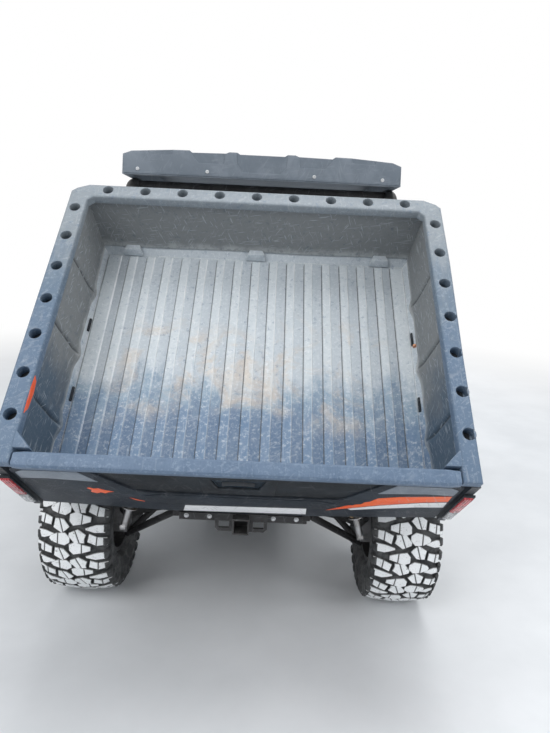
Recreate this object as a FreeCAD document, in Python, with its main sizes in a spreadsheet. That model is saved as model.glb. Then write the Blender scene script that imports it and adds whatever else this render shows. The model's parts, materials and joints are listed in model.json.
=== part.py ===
import FreeCAD, Part
import math
import os

import Sketcher
from FreeCAD import Placement, Rotation, Vector

# A side by side utility vehicle with its cargo bed tipped up, in millimetres.
# Lengths are set out from the rear axle: X to the vehicle's right, Y forward, Z up from the ground.
# The bed and its tailgate are set out level, from the centre of the bed's hinge pin.

SIZES = {
    # Wheels
    "wheelbase": 2057,
    "half_track": 660,
    "tyre_diameter": 686,
    "tyre_width": 280,
    "tread_half": 104,
    "tyre_crown": 8,
    "rim_diameter": 356,
    "rim_width": 214,
    "rim_wall": 8,
    "rim_lip": 10,
    "disc_offset": 30,
    "disc_wall": 8,
    "disc_rise": 22,
    "hub_radius": 52,
    "hub_length": 46,
    "spindle_radius": 28,
    "rim_window_radius": 17,
    "rim_window_circle": 118,
    "rim_windows": 8,
    "tread_groove": 14,
    "tread_flats": 24,
    "lug_overlap": 16,
    "lug_gap": 9,
    # Clearances
    "seat_gap": 0.3,
    "running_gap": 0.05,
    "moving_gap": 6,
    # Chassis
    "rail_inner": 215,
    "rail_width": 50,
    "rail_height": 55,
    "rail_bottom": 280,
    "rail_rear": -330,
    "rear_bottom": 400,
    "low_rail_rear": -190,
    "kick_y": 150,
    "arm_post_reach": 95,
    "frame_overhang": 273,
    "upper_rail_top": 700,
    "upper_rail_height": 45,
    "cage_beam_y": 705,
    "cage_beam_bottom": 470,
    "cage_beam_height": 60,
    "engine_bay_front": 640,
    "toe_setback": 411,
    "skid_wall": 6,
    "tower_half": 150,
    "tower_top": 760,
    "tower_wall": 40,
    # Bed hinge and bed
    "hinge_y": -280,
    "hinge_z": 740,
    "bed_tilt": 47,
    "pin_radius": 12,
    "pin_reach": 70,
    "bed_rear": 192,
    "bed_front": 929,
    "bed_half": 709,
    "bed_wall": 24,
    "bed_bottom": 96,
    "bed_floor": 24,
    "bed_top": 436,
    "rail_plate": 40,
    "rail_overhang": 36,
    "rail_lip": 12,
    "rail_tail": 46,
    "corner_cut": 66,
    "rail_hole_radius": 21,
    "rail_hole_pitch": 150,
    "rib_pitch": 77.8,
    "rib_half": 20.5,
    "rib_height": 4.8,
    "rib_count": 15,
    "edge_rib_x": 626,
    "edge_rib_half": 31,
    "floor_fillet": 28,
    "front_ledge": 40,
    "gusset": 56,
    "side_holes": 7,
    "front_holes": 9,
    "first_hole_y": 820,
    "front_hole_y": 924,
    "side_hole_x": 711,
    "channel_inner": 272,
    "channel_width": 40,
    "channel_height": 72,
    "skin_wall": 28,
    "skin_bottom": 40,
    "arch_radius": 430,
    # Tailgate
    "gate_hinge_y": -215,
    "gate_hinge_z": 100,
    "gate_half": 697,
    "gate_board_half": 664,
    "gate_board": 27,
    "gate_skin": 12,
    "gate_top": 384,
    "gate_end_bottom": 45,
    "gate_mid_bottom": -6,
    "gate_mid_half": 260,
    "gate_relief": 3,
    "recess_half": 345,
    "recess_low": 198,
    "recess_top_half": 458,
    "band_half": 270,
    "band_low": 78,
    "band_high": 180,
    "latch_half": 88,
    "latch_foot_half": 66,
    "latch_low": 262,
    "latch_high": 345,
    "latch_border": 22,
    "latch_depth": 22,
    "cap_half": 668,
    "cap_reach": 55,
    "cap_chamfer": 8,
    "gate_pin_radius": 6,
    "gate_sleeve_radius": 11,
    "gate_sleeve_x": 500,
    "gate_sleeve_length": 60,
    "strap_room": 16,
    "ear_wall": 10,
    # Lift strut
    "strut_x": 182,
    "strut_foot_y": -100,
    "strut_foot_z": 440,
    "strut_eye_y": 310,
    "strut_radius": 16,
    "strut_length": 296,
    "strut_rod_radius": 8,
    "strut_rod_length": 288,
    "strut_eye_radius": 24,
    "strut_eye_bore": 16,
    "strut_eye_width": 16,
    "strut_pin_radius": 6,
    # Cage and roof
    "cage_x": 685,
    "tube_radius": 30,
    "cross_tube_radius": 22,
    "cage_bend": 110,
    "cage_rear_y": 735,
    "cage_top_y": 690,
    "cage_top_z": 1815,
    "header_setback": 497,
    "knee_setback": 257,
    "pillar_knee_z": 1070,
    "pillar_foot_setback": 427,
    "pillar_foot_z": 700,
    "belt_tube_z": 1000,
    "roof_rear": 608,
    "roof_visor": 140,
    "roof_half": 700,
    "roof_wall": 40,
    "roof_height": 125,
    "roof_panel_inner": 60,
    "roof_panel_depth": 7,
    # Cab
    "tub_half": 648,
    "tub_wall": 14,
    "tub_rear": 765,
    "sill_bottom": 322,
    "sill_height": 90,
    "sill_reach": 728,
    "toe_top": 760,
    "seat_half": 600,
    "seat_base_top": 610,
    "seat_base_rear": 770,
    "seat_base_front": 1240,
    "cushion_height": 110,
    "cushion_front": 1290,
    "back_foot": 905,
    "back_thick": 90,
    "back_lean": 50,
    "back_top": 1200,
    "dash_half": 640,
    "dash_setback": 557,
    "dash_foot": 850,
    "dash_face": 175,
    "column_angle": 35,
    "dash_depth": 290,
    "dash_top": 1060,
    # Nose
    "hood_half": 470,
    "hood_nose_half": 470,
    "hood_rear_z": 1066,
    "hood_mid_z": 1010,
    "hood_nose_z": 872,
    "hood_wall": 22,
    "nose_reach": 433,
    "fender_half": 772,
    "fender_wall": 14,
    "fender_rise": 240,
    "fascia_depth": 50,
    "fascia_half": 470,
    "fascia_bottom": 560,
    "grille_half": 190,
    "grille_bottom": 610,
    "grille_height": 150,
    "grille_slats": 5,
    "lamp_half": 90,
    "headlamp_x": 295,
    "headlamp_z": 800,
    "headlamp_height": 70,
    "bumper_reach": 508,
    "bumper_radius": 22,
    "bumper_top": 660,
    "bumper_bar_rise": 190,
    # Suspension and steering
    "kingpin_x": 530,
    "knuckle_half_height": 95,
    "knuckle_depth": 90,
    "knuckle_width": 60,
    "arm_radius": 15,
    "ball_length": 30,
    "ball_radius": 14,
    "shock_eye": 16,
    "lower_spread": 170,
    "upper_spread": 80,
    "upper_pivot_front": 150,
    "upper_pivot_rear": 200,
    "shock_radius": 20,
    "spring_radius": 33,
    "spring_wire": 6,
    "spring_turns": 7,
    "spring_seat": 4,
    "steering_arm": 90,
    "tie_rod_radius": 9,
    "tie_eye_bore": 15,
    "rack_z": 395,
    "rack_case_half": 190,
    "column_x": -370,
    "column_radius": 28,
    "column_length": 190,
    "steering_wheel_radius": 170,
    "steering_rim_radius": 13,
    "steering_hub_radius": 45,
    # Drive
    "gearcase_half": 148,
    "gearcase_height": 180,
    "gearcase_rear": 110,
    "gearcase_drop": 55,
    "engine_height": 300,
    "shaft_radius": 14,
    "boot_radius": 38,
    "boot_setback": 32,
    "boot_length": 70,
    "shaft_ball": 24,
    "ball_room": 10,
    "muffler_radius": 72,
    "muffler_half": 150,
    "muffler_y": -190,
    "muffler_z": 565,
    "front_perch_x": 330,
    "rear_perch_x": 400,
    "rear_perch_y": -210,
    "rear_foot_x": 478,
    "rear_foot_y": -254,
    "rear_foot_z": 391,
    "front_foot_share": 0.36,
    # Tow hitch
    "hitch_size": 63,
    "hitch_wall": 6,
    "hitch_rear": -400,
    "hitch_top": 520,
    "hitch_plate_half": 100,
}

DOC = FreeCAD.newDocument("utility_vehicle")
SHEET = DOC.addObject("Spreadsheet::Sheet", "Sizes")
NODES = []


class Size:
    """A length with its value now and the expression that keeps it tied to the sheet's cells."""

    def __init__(self, value, text):
        self.value = float(value)
        self.text = text

    def __add__(self, other):
        other = size_of(other)
        return Size(self.value + other.value, f"({self.text} + {other.text})")

    def __sub__(self, other):
        other = size_of(other)
        return Size(self.value - other.value, f"({self.text} - {other.text})")

    def __mul__(self, other):
        other = size_of(other)
        return Size(self.value * other.value, f"({self.text} * {other.text})")

    def __truediv__(self, other):
        other = size_of(other)
        return Size(self.value / other.value, f"({self.text} / {other.text})")

    def __neg__(self):
        return Size(-self.value, f"(0 - {self.text})")

    def __radd__(self, other):
        return size_of(other) + self

    def __rsub__(self, other):
        return size_of(other) - self

    def __rmul__(self, other):
        return size_of(other) * self


def size_of(number):
    """Return a Size for a plain number, or the Size itself."""
    if isinstance(number, Size):
        return number
    return Size(number, f"({float(number)!r})")


def cosine(angle):
    """Cosine of an angle held in degrees."""
    return Size(math.cos(math.radians(angle.value)), f"cos({angle.text} * 1deg)")


def sine(angle):
    """Sine of an angle held in degrees."""
    return Size(math.sin(math.radians(angle.value)), f"sin({angle.text} * 1deg)")


def fill_sheet():
    """Write each driving dimension into a cell with its alias, and give back the sizes by name."""
    for row, (alias, number) in enumerate(SIZES.items(), start=1):
        SHEET.set(f"A{row}", alias)
        SHEET.set(f"B{row}", str(number))
        SHEET.setAlias(f"B{row}", alias)
    DOC.recompute()
    return {alias: Size(SHEET.get(alias), f"Sizes.{alias}") for alias in SIZES}


class Names:
    """The sizes as attributes."""

    def __init__(self, table):
        self.__dict__.update(table)


S = Names(fill_sheet())

# Places that move with the front axle

S.rail_front = S.wheelbase + S.frame_overhang
S.toe_y = S.wheelbase - S.toe_setback
S.cage_front_y = S.wheelbase - S.header_setback
S.pillar_knee_y = S.wheelbase - S.knee_setback
S.pillar_foot_y = S.wheelbase - S.pillar_foot_setback
S.roof_front = S.cage_front_y + S.roof_visor
S.dash_rear = S.wheelbase - S.dash_setback
S.dash_front = S.dash_rear + S.dash_depth
S.nose_y = S.wheelbase + S.nose_reach
S.bumper_y = S.wheelbase + S.bumper_reach


def bind(thing, prop, size):
    """Tie one property of a document object to the sheet."""
    thing.setExpression(prop, size_of(size).text)


def put(thing, point):
    """Tie an object's place to the sheet."""
    for axis, size in zip("xyz", point):
        bind(thing, f"Placement.Base.{axis}", size)
    return thing


def values(point):
    """The plain vector of a point of sizes."""
    return Vector(*[size_of(size).value for size in point])


# Solids

TURNS = {
    "x": Rotation(Vector(0, 1, 0), 90),
    "y": Rotation(Vector(1, 0, 0), -90),
    "z": Rotation(),
}
SKETCH_TURNS = {
    "side": Rotation(Vector(1, 1, 1), 120),
    "rear": Rotation(Vector(1, 0, 0), 90),
    "top": Rotation(),
}
SKETCH_NORMALS = {
    "side": Vector(1, 0, 0),
    "rear": Vector(0, 1, 0),
    "top": Vector(0, 0, 1),
}


def box(name, low, high):
    """A block between two corners."""
    block = DOC.addObject("Part::Box", name)
    for prop, start, end in zip(("Length", "Width", "Height"), low, high):
        bind(block, prop, size_of(end) - start)
    return put(block, low)


def cylinder(name, base, axis, radius, length):
    """A cylinder that runs along one axis from its base point."""
    rod = DOC.addObject("Part::Cylinder", name)
    rod.Placement = Placement(Vector(), TURNS[axis])
    bind(rod, "Radius", radius)
    bind(rod, "Height", length)
    return put(rod, base)


def outline(name, plane, points):
    """A closed sketch of straight lines on one plane, each corner tied to the sheet."""
    sketch = DOC.addObject("Sketcher::SketchObject", name)
    corners = [Vector(size_of(u).value, size_of(v).value, 0) for u, v in points]
    count = len(corners)
    for index in range(count):
        line = Part.LineSegment(corners[index], corners[(index + 1) % count])
        sketch.addGeometry(line, False)
    for index in range(count):
        sketch.addConstraint(Sketcher.Constraint("Coincident", index, 2, (index + 1) % count, 1))
    for index, (u, v) in enumerate(points):
        for kind, size in (("DistanceX", u), ("DistanceY", v)):
            size = size_of(size)
            row = sketch.addConstraint(Sketcher.Constraint(kind, -1, 1, index, 1, size.value))
            sketch.setExpression(f"Constraints[{row}]", size.text)
    sketch.Placement = Placement(Vector(), SKETCH_TURNS[plane])
    return sketch


def prism(name, plane, points, start, depth):
    """An outline pushed out along its plane's normal, from one place through a depth."""
    solid = DOC.addObject("Part::Extrusion", name)
    solid.Base = outline(f"{name}_outline", plane, points)
    solid.DirMode = "Custom"
    solid.Dir = SKETCH_NORMALS[plane]
    solid.Solid = True
    bind(solid, "LengthFwd", depth)
    axis = {"side": "x", "rear": "y", "top": "z"}[plane]
    bind(solid, f"Placement.Base.{axis}", start)
    return solid


def turned(name, points):
    """An outline of (along, radius) points turned about the X axis."""
    solid = DOC.addObject("Part::Revolution", name)
    solid.Source = outline(f"{name}_outline", "rear", points)
    solid.Axis = Vector(1, 0, 0)
    solid.Base = Vector()
    solid.Angle = 360
    solid.Solid = True
    return solid


def fuse(name, parts):
    """Several solids joined."""
    joined = DOC.addObject("Part::MultiFuse", name)
    joined.Shapes = parts
    return joined


def cut(name, base, tools):
    """A solid less the tools."""
    tool = tools[0] if len(tools) == 1 else fuse(f"{name}_tools", tools)
    result = DOC.addObject("Part::Cut", name)
    result.Base = base
    result.Tool = tool
    return result


def common(name, one, two):
    """What two solids share."""
    shared = DOC.addObject("Part::Common", name)
    shared.Base = one
    shared.Tool = two
    return shared


def mirrored(name, source):
    """The same solid on the vehicle's other side."""
    copy = DOC.addObject("Part::Mirroring", name)
    copy.Source = source
    copy.Normal = Vector(1, 0, 0)
    copy.Base = Vector()
    return copy


def pair(source):
    """A solid and its mirror image."""
    return [source, mirrored(f"{source.Name}_left", source)]


def shaped(name, shape):
    """A solid made with Part's own functions."""
    thing = DOC.addObject("Part::Feature", name)
    thing.Shape = shape
    return thing


def rod(name, start, end, radius):
    """A round bar between two points."""
    first = values(start)
    way = values(end) - first
    return shaped(name, Part.makeCylinder(size_of(radius).value, way.Length, first, way))


def collar(name, start, end, offset, radius, depth):
    """A disc on the line between two points, its near face an offset from the first."""
    first = values(start)
    way = values(end) - first
    base = first + way.normalize() * size_of(offset).value
    return shaped(name, Part.makeCylinder(size_of(radius).value, size_of(depth).value, base, way))


def boot(name, start, end, radius, tip_radius):
    """A cone between two points."""
    first = values(start)
    way = values(end) - first
    radii = size_of(radius).value, size_of(tip_radius).value
    return shaped(name, Part.makeCone(radii[0], radii[1], way.Length, first, way))


def bent_tube(name, points, radius, bend):
    """A round tube along straight runs joined by arcs of one bend radius."""
    corners = [values(point) for point in points]
    bend = size_of(bend).value
    edges = []
    last = corners[0]
    for before, here, after in zip(corners, corners[1:], corners[2:]):
        back = (before - here).normalize()
        ahead = (after - here).normalize()
        half_turn = back.getAngle(ahead) / 2
        reach = bend / math.tan(half_turn)
        middle = (back + ahead).normalize()
        entry = here + back * reach
        leave = here + ahead * reach
        crown = here + middle * (bend / math.sin(half_turn) - bend)
        edges.append(Part.LineSegment(last, entry).toShape())
        edges.append(Part.Arc(entry, crown, leave).toShape())
        last = leave
    edges.append(Part.LineSegment(last, corners[-1]).toShape())
    path = Part.Wire(edges)
    ring = Part.makeCircle(size_of(radius).value, corners[0], corners[1] - corners[0])
    return shaped(name, path.makePipeShell([Part.Wire(ring)], True, False))


def faceted(rings):
    """A solid whose rings of points are joined by flat faces; it ends on its first ring where it is a loop."""
    faces = []
    for one, two in zip(rings, rings[1:]):
        for index in range(len(one)):
            after = (index + 1) % len(one)
            corners = [one[index], one[after], two[after], two[index]]
            normal = (corners[1] - corners[0]).cross(corners[3] - corners[0])
            bend = abs(normal.normalize().dot(corners[2] - corners[0]))
            loops = [corners] if bend < 1e-6 else [corners[:3], [corners[0], corners[2], corners[3]]]
            faces += [Part.Face(Part.makePolygon(loop + loop[:1])) for loop in loops]
    if rings[0] is not rings[-1]:
        faces += [Part.Face(Part.makePolygon(ring + ring[:1])) for ring in (rings[0], rings[-1])]
    shell = Part.makeShell(faces)
    solid = Part.makeSolid(shell)
    if solid.Volume < 0:
        solid.reverse()
    return solid


def coil(name, start, end, radius, wire, turns):
    """A coil spring between two points, its wire six-sided."""
    first = values(start)
    way = values(end) - first
    radius, wire, turns = (size_of(size).value for size in (radius, wire, turns))
    steps = 11
    rings = []
    for step in range(int(turns * steps) + 1):
        angle = 2 * math.pi * step / steps
        out = Vector(math.cos(angle), math.sin(angle), 0)
        middle = out * radius + Vector(0, 0, way.Length * step / (turns * steps))
        rings.append([
            middle + out * (wire * math.sin(side)) + Vector(0, 0, wire * math.cos(side))
            for side in (math.pi * number / 3 for number in range(6))
        ])
    spring = faceted(rings)
    spring.Placement = Placement(first, Rotation(Vector(0, 0, 1), way))
    return shaped(name, spring)


# Nodes

AXLE_Z = S.tyre_diameter / 2
CAP_EDGE = S.cap_chamfer - S.bed_rear - S.cap_reach
REARMOST = S.hinge_y + CAP_EDGE * cosine(S.bed_tilt) - S.bed_top * sine(S.bed_tilt)
FOREMOST = S.bumper_y + S.bumper_radius
MIDDLE = (REARMOST + FOREMOST) / 2


def node(label, parts, at=None, turn=None):
    """Name a sub-part and set it in the vehicle's frame, whose origin is midway along it on the ground."""
    whole = DOC.addObject("Part::Compound", f"{label}_node")
    whole.Label = label
    whole.Links = parts
    if turn is not None:
        whole.Placement = Placement(Vector(), turn)
    x, y, z = at or (0, 0, 0)
    put(whole, (x, size_of(y) - MIDDLE, z))
    NODES.append(whole)
    return whole


def bed_node(label, parts):
    """Name a sub-part that is set out level from the bed's hinge pin, and tip it up with the bed."""
    whole = DOC.addObject("Part::Compound", f"{label}_node")
    whole.Label = label
    whole.Links = parts
    whole.Placement = Placement(Vector(), Rotation(Vector(1, 0, 0), 1))
    put(whole, (0, S.hinge_y - MIDDLE, S.hinge_z))
    bind(whole, "Placement.Rotation.Angle", S.bed_tilt)
    NODES.append(whole)
    return whole


# Wheels

def tyre_solid(name):
    """The tyre: a ring with flat facets, and staggered lugs in a pattern round both shoulders."""
    outer = S.tyre_diameter / 2
    floor = outer - S.tread_groove
    half = S.tyre_width / 2
    bead = S.rim_diameter / 2
    lip = S.rim_width / 2 - S.rim_lip - S.seat_gap
    flats = SIZES["tread_flats"]
    side = [
        (lip, bead),
        (lip, bead + S.rim_lip + 3),
        (half - 20, bead + S.rim_lip + 16),
        (half - 3, bead + (outer - bead) * 0.5),
        (half - 8, outer - 52),
        (S.tread_half, floor - S.tyre_crown),
    ]
    points = [(along.value, radius.value) for along, radius in side + [(-a, r) for a, r in reversed(side)]]
    rings = []
    for along, radius in points:
        reach = radius / (math.cos(math.pi / flats) if along in (lip.value, -lip.value) else 1)
        turns = [2 * math.pi * step / flats for step in range(flats)]
        rings.append([Vector(along, reach * math.cos(angle), reach * math.sin(angle)) for angle in turns])
    ring = shaped(f"{name}_ring", faceted(rings + rings[:1]))

    flat = math.cos(math.pi / flats)
    width = outer * (2 * math.sin(math.pi / flats)) - S.lug_gap
    crest = math.sqrt(1 - (width.value / 2 / outer.value) ** 2)
    lug = prism(f"{name}_lug", "rear", [
        (-S.lug_overlap, (floor - S.tyre_crown - 4) * flat),
        (-S.lug_overlap, outer * crest),
        (S.tread_half, (outer - S.tyre_crown) * crest),
        (half, (outer - 60) * flat),
        (half - 12, (outer - 64) * flat),
        (S.tread_half - 12, (floor - S.tyre_crown - 14) * flat),
    ], width / -2, width)
    lugs = []
    for number in range(flats):
        copy = DOC.addObject("Part::Compound", f"{name}_lug{number}")
        copy.Links = [lug if number % 2 else mirrored(f"{name}_lug_left{number}", lug)]
        copy.Placement = Placement(Vector(), Rotation(Vector(1, 0, 0), (number + 0.5) * 360 / flats))
        lugs.append(copy)
    return fuse(name, [ring] + lugs)


def rim_solid(name):
    """A pressed wheel with its dished disc, hub and windows, outer face towards +X."""
    seat = S.rim_diameter / 2 - S.seat_gap
    lip = seat + S.rim_lip
    half = S.rim_width / 2
    inner = seat - S.rim_wall
    barrel = turned(f"{name}_barrel", [
        (-half, inner),
        (-half, lip),
        (-half + S.rim_lip, lip),
        (-half + S.rim_lip, seat),
        (half - S.rim_lip, seat),
        (half - S.rim_lip, lip),
        (half, lip),
        (half, inner),
    ])
    face = S.disc_offset
    bore = S.spindle_radius + S.running_gap
    disc = turned(f"{name}_disc", [
        (face, bore),
        (face, S.hub_radius + 30),
        (face - S.disc_rise, inner + 1),
        (face - S.disc_rise + S.disc_wall, inner + 1),
        (face + S.disc_wall, S.hub_radius + 30),
        (face + S.disc_wall, S.hub_radius),
        (face + S.hub_length / 2, S.hub_radius - 14),
        (face + S.hub_length / 2, bore),
    ])
    windows = []
    for number in range(SIZES["rim_windows"]):
        angle = math.radians(360 * number / SIZES["rim_windows"])
        spot = (
            0,
            S.rim_window_circle * math.cos(angle),
            S.rim_window_circle * math.sin(angle),
        )
        windows.append(cylinder(f"{name}_window{number}", spot, "x", S.rim_window_radius, half))
    return cut(name, fuse(f"{name}_whole", [barrel, disc]), windows)


def make_wheels():
    """Four tyres and four rims, each set at its own axle end."""
    corners = (
        # name, side, axle place
        ("front_left", -1, S.wheelbase),
        ("front_right", 1, S.wheelbase),
        ("rear_left", -1, size_of(0)),
        ("rear_right", 1, size_of(0)),
    )
    for name, side, axle_y in corners:
        spot = (side * S.half_track, axle_y, AXLE_Z)
        turn = Rotation(Vector(0, 0, 1), 0 if side > 0 else 180)
        node(f"tyre_{name}", [tyre_solid(f"carcass_{name}")], spot, turn)
        node(f"rim_{name}", [rim_solid(f"wheel_{name}")], spot, turn)


# Chassis

def make_frame():
    """The ladder frame, its rear uprights with the bed's hinge pins, and the front towers."""
    inner = S.rail_inner
    outer = S.rail_inner + S.rail_width
    low = S.rail_bottom
    top = S.rail_bottom + S.rail_height
    back_low = S.rear_bottom
    back_top = S.rear_bottom + S.rail_height
    rails = pair(box("lower_rail", (inner, S.kick_y, low), (outer, S.rail_front, top)))
    kick_end = S.kick_y + S.rail_width
    rails += pair(box("rear_low_rail", (inner, S.low_rail_rear, back_low), (outer, kick_end, back_top)))
    rails += pair(box("kick_post", (inner, S.kick_y, low + 1), (outer, kick_end, back_top - 1)))
    rails.append(box(
        "rear_cross_tube",
        (-inner - 1, S.low_rail_rear, back_low),
        (inner + 1, -S.gearcase_half - S.seat_gap, back_top),
    ))
    crossings = []
    for index, start in enumerate((S.engine_bay_front, S.toe_y, S.rail_front - S.rail_width)):
        crossings.append(box(
            f"cross_tube{index}",
            (-inner, start, low),
            (inner, start + S.rail_width, top),
        ))
    tower = box(
        "front_tower",
        (inner, S.wheelbase - S.tower_half, top - 1),
        (inner + S.tower_wall, S.wheelbase + S.tower_half, S.tower_top),
    )
    window = box(
        "tower_window",
        (inner - 1, S.wheelbase - 125, top + 16),
        (inner + S.tower_wall + 1, S.wheelbase + 125, AXLE_Z + 100),
    )
    upper_window = box(
        "tower_upper_window",
        (inner - 1, S.wheelbase - 60, AXLE_Z + 190),
        (inner + S.tower_wall + 1, S.wheelbase + 60, S.tower_top - S.tower_wall),
    )
    bridge = box(
        "tower_bridge",
        (-inner - 1, S.wheelbase - 30, S.tower_top - S.tower_wall),
        (inner + 1, S.wheelbase + 30, S.tower_top),
    )
    perch = box(
        "front_perch",
        (outer - 12, S.wheelbase + S.tower_half - 26, S.tower_top - S.tower_wall + S.seat_gap),
        (S.front_perch_x + 18, S.wheelbase + S.tower_half + 14, S.tower_top),
    )
    towers = pair(cut("open_tower", tower, [window, upper_window])) + pair(perch)
    node("frame_ladder", [fuse("ladder", rails + crossings + towers + [bridge])])

    upper_low = S.upper_rail_top - S.upper_rail_height
    rear = S.rail_rear
    post = box("rear_upright", (inner, rear, S.hitch_top - 32), (outer, rear + S.rail_width, S.upper_rail_top))
    foot = back_top + S.seat_gap
    post_width = S.arm_radius * 2
    posts = []
    for index, start in enumerate((S.low_rail_rear, -S.arm_post_reach, S.arm_post_reach - post_width)):
        posts.append(box(f"arm_post{index}", (inner, start, foot), (outer, start + post_width, upper_low + 1)))
    upper = box("upper_rail", (inner, rear, upper_low), (outer, S.engine_bay_front, S.upper_rail_top))
    mid = box(
        "middle_upright",
        (inner, S.engine_bay_front, top + S.seat_gap),
        (outer, S.engine_bay_front + S.rail_width, S.upper_rail_top),
    )
    ear = prism("hinge_ear", "side", [
        (S.hinge_y - 50, S.upper_rail_top - 1),
        (S.hinge_y + 60, S.upper_rail_top - 1),
        (S.hinge_y + 20, S.hinge_z + 22),
        (S.hinge_y - 20, S.hinge_z + 22),
    ], outer - 14, 14)
    pin = cylinder("hinge_pin", (outer - 14, S.hinge_y, S.hinge_z), "x", S.pin_radius, S.pin_reach)
    stop = box(
        "bump_stop",
        (S.channel_inner + 2, S.engine_bay_front, S.upper_rail_top - 12),
        (S.channel_inner + S.channel_width - 2, S.engine_bay_front + S.rail_width,
         S.hinge_z + S.bed_bottom - S.channel_height - S.moving_gap),
    )
    perch = box(
        "rear_perch",
        (outer - 10, S.rear_perch_y - 16, S.upper_rail_top - 16),
        (S.rear_perch_x + 16, S.rear_perch_y + 16, S.upper_rail_top),
    )
    beam = box(
        "cage_beam",
        (outer - 10, S.cage_beam_y, S.cage_beam_bottom),
        (S.cage_x + S.tube_radius, S.cage_beam_y + 60, S.cage_beam_bottom + S.cage_beam_height),
    )
    hanger = box(
        "beam_hanger",
        (outer - 10, S.engine_bay_front + 10, S.cage_beam_bottom),
        (outer + 40, S.cage_beam_y + 1, S.cage_beam_bottom + S.cage_beam_height),
    )
    sides = []
    for solid in (post, upper, mid, ear, pin, stop, perch, beam, hanger, *posts):
        sides += pair(solid)
    reach = S.channel_inner + S.channel_width
    sides.append(box(
        "upper_tie",
        (-reach, S.engine_bay_front, upper_low),
        (reach, S.engine_bay_front + S.rail_width, S.upper_rail_top - 12),
    ))
    can_y = S.muffler_y
    sides.append(box(
        "muffler_tie",
        (-inner - 1, can_y - 16, upper_low + 6),
        (inner + 1, can_y + 16, S.upper_rail_top - 4),
    ))
    for number, across in enumerate((-S.muffler_half - 10, S.muffler_half - 70)):
        sides.append(box(
            f"muffler_hanger{number}",
            (across, can_y - 12, S.muffler_z + S.muffler_radius + S.seat_gap),
            (across + 30, can_y + 12, upper_low + 7),
        ))
    node("frame_rear", [fuse("rear_frame", sides)])

    node("skid_plate", [box(
        "skid",
        (-outer, S.kick_y, low - S.seat_gap - S.skid_wall),
        (outer, S.rail_front, low - S.seat_gap),
    )])


def make_drive():
    """Engine, rear gearcase, muffler and half shafts."""
    top = S.rail_bottom + S.rail_height
    half = S.gearcase_half
    block = box(
        "engine_block",
        (-S.rail_inner + 30, half + 10, S.rail_bottom),
        (S.rail_inner - 30, S.engine_bay_front - 20, top + S.engine_height),
    )
    casing_front = half + 10 - S.seat_gap
    casing = prism("casing", "side", [
        (-S.gearcase_rear, S.rear_bottom),
        (-S.gearcase_rear / 2, S.rear_bottom - S.gearcase_drop),
        (casing_front, S.rear_bottom - S.gearcase_drop),
        (casing_front, S.rear_bottom + S.gearcase_height),
        (-S.gearcase_rear, S.rear_bottom + S.gearcase_height),
    ], -half, half * 2)
    front_casing = box(
        "front_casing",
        (-half, S.wheelbase - 50, S.rail_bottom),
        (half, S.wheelbase + 80, S.rail_bottom + S.gearcase_height - 30),
    )
    node("drive_train", [block, casing, front_casing])
    spot = (-S.muffler_half - 20, S.muffler_y, S.muffler_z)
    node("muffler", [cylinder("muffler_can", spot, "x", S.muffler_radius, S.muffler_half * 2)])
    shafts = []
    for label, place, high in (
        ("rear", size_of(0), S.rear_bottom - 20),
        ("front", S.wheelbase, AXLE_Z + 37),
    ):
        start = half + S.seat_gap
        end = S.kingpin_x - S.boot_setback
        tip = S.shaft_radius - 2
        inner_end = (start + S.boot_length, place, high)
        outer_end = (end - S.boot_length, place, AXLE_Z)
        inner_boot = boot(f"inner_boot_{label}", (start, place, high), inner_end, S.boot_radius, tip)
        outer_boot = boot(f"outer_boot_{label}", (end, place, AXLE_Z), outer_end, S.boot_radius, tip)
        shaft = rod(f"shaft_{label}", (start + 50, place, high), (end - 50, place, AXLE_Z), S.shaft_radius)
        stub = cylinder(f"shaft_stub_{label}", (end - 10, place, AXLE_Z), "x", S.shaft_radius, S.boot_setback + 10)
        ball = shaped(f"shaft_ball_{label}", Part.makeSphere(S.shaft_ball.value, values((S.kingpin_x, place, AXLE_Z))))
        shafts += pair(fuse(f"half_shaft_{label}", [shaft, inner_boot, outer_boot, stub, ball]))
    node("half_shafts", shafts)


def knuckle_solid(name, place):
    """A knuckle block with the spindle that its wheel turns on."""
    depth = S.knuckle_depth / 2
    inside = S.kingpin_x - 8
    block = box(
        f"{name}_block",
        (inside, place - depth, AXLE_Z - S.knuckle_half_height),
        (inside + S.knuckle_width, place + depth, AXLE_Z + S.knuckle_half_height),
    )
    reach = S.half_track + S.disc_offset + S.hub_length / 2 - inside
    spindle = cylinder(f"{name}_spindle", (inside, place, AXLE_Z), "x", S.spindle_radius, reach)
    room = S.shaft_ball + S.ball_room
    cup = cylinder(f"{name}_cup", (inside - 1, place, AXLE_Z), "x", room, S.kingpin_x - inside + room + 1)
    return [cut(f"{name}_upright", fuse(f"{name}_upright_whole", [block, spindle]), [cup])]


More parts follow.
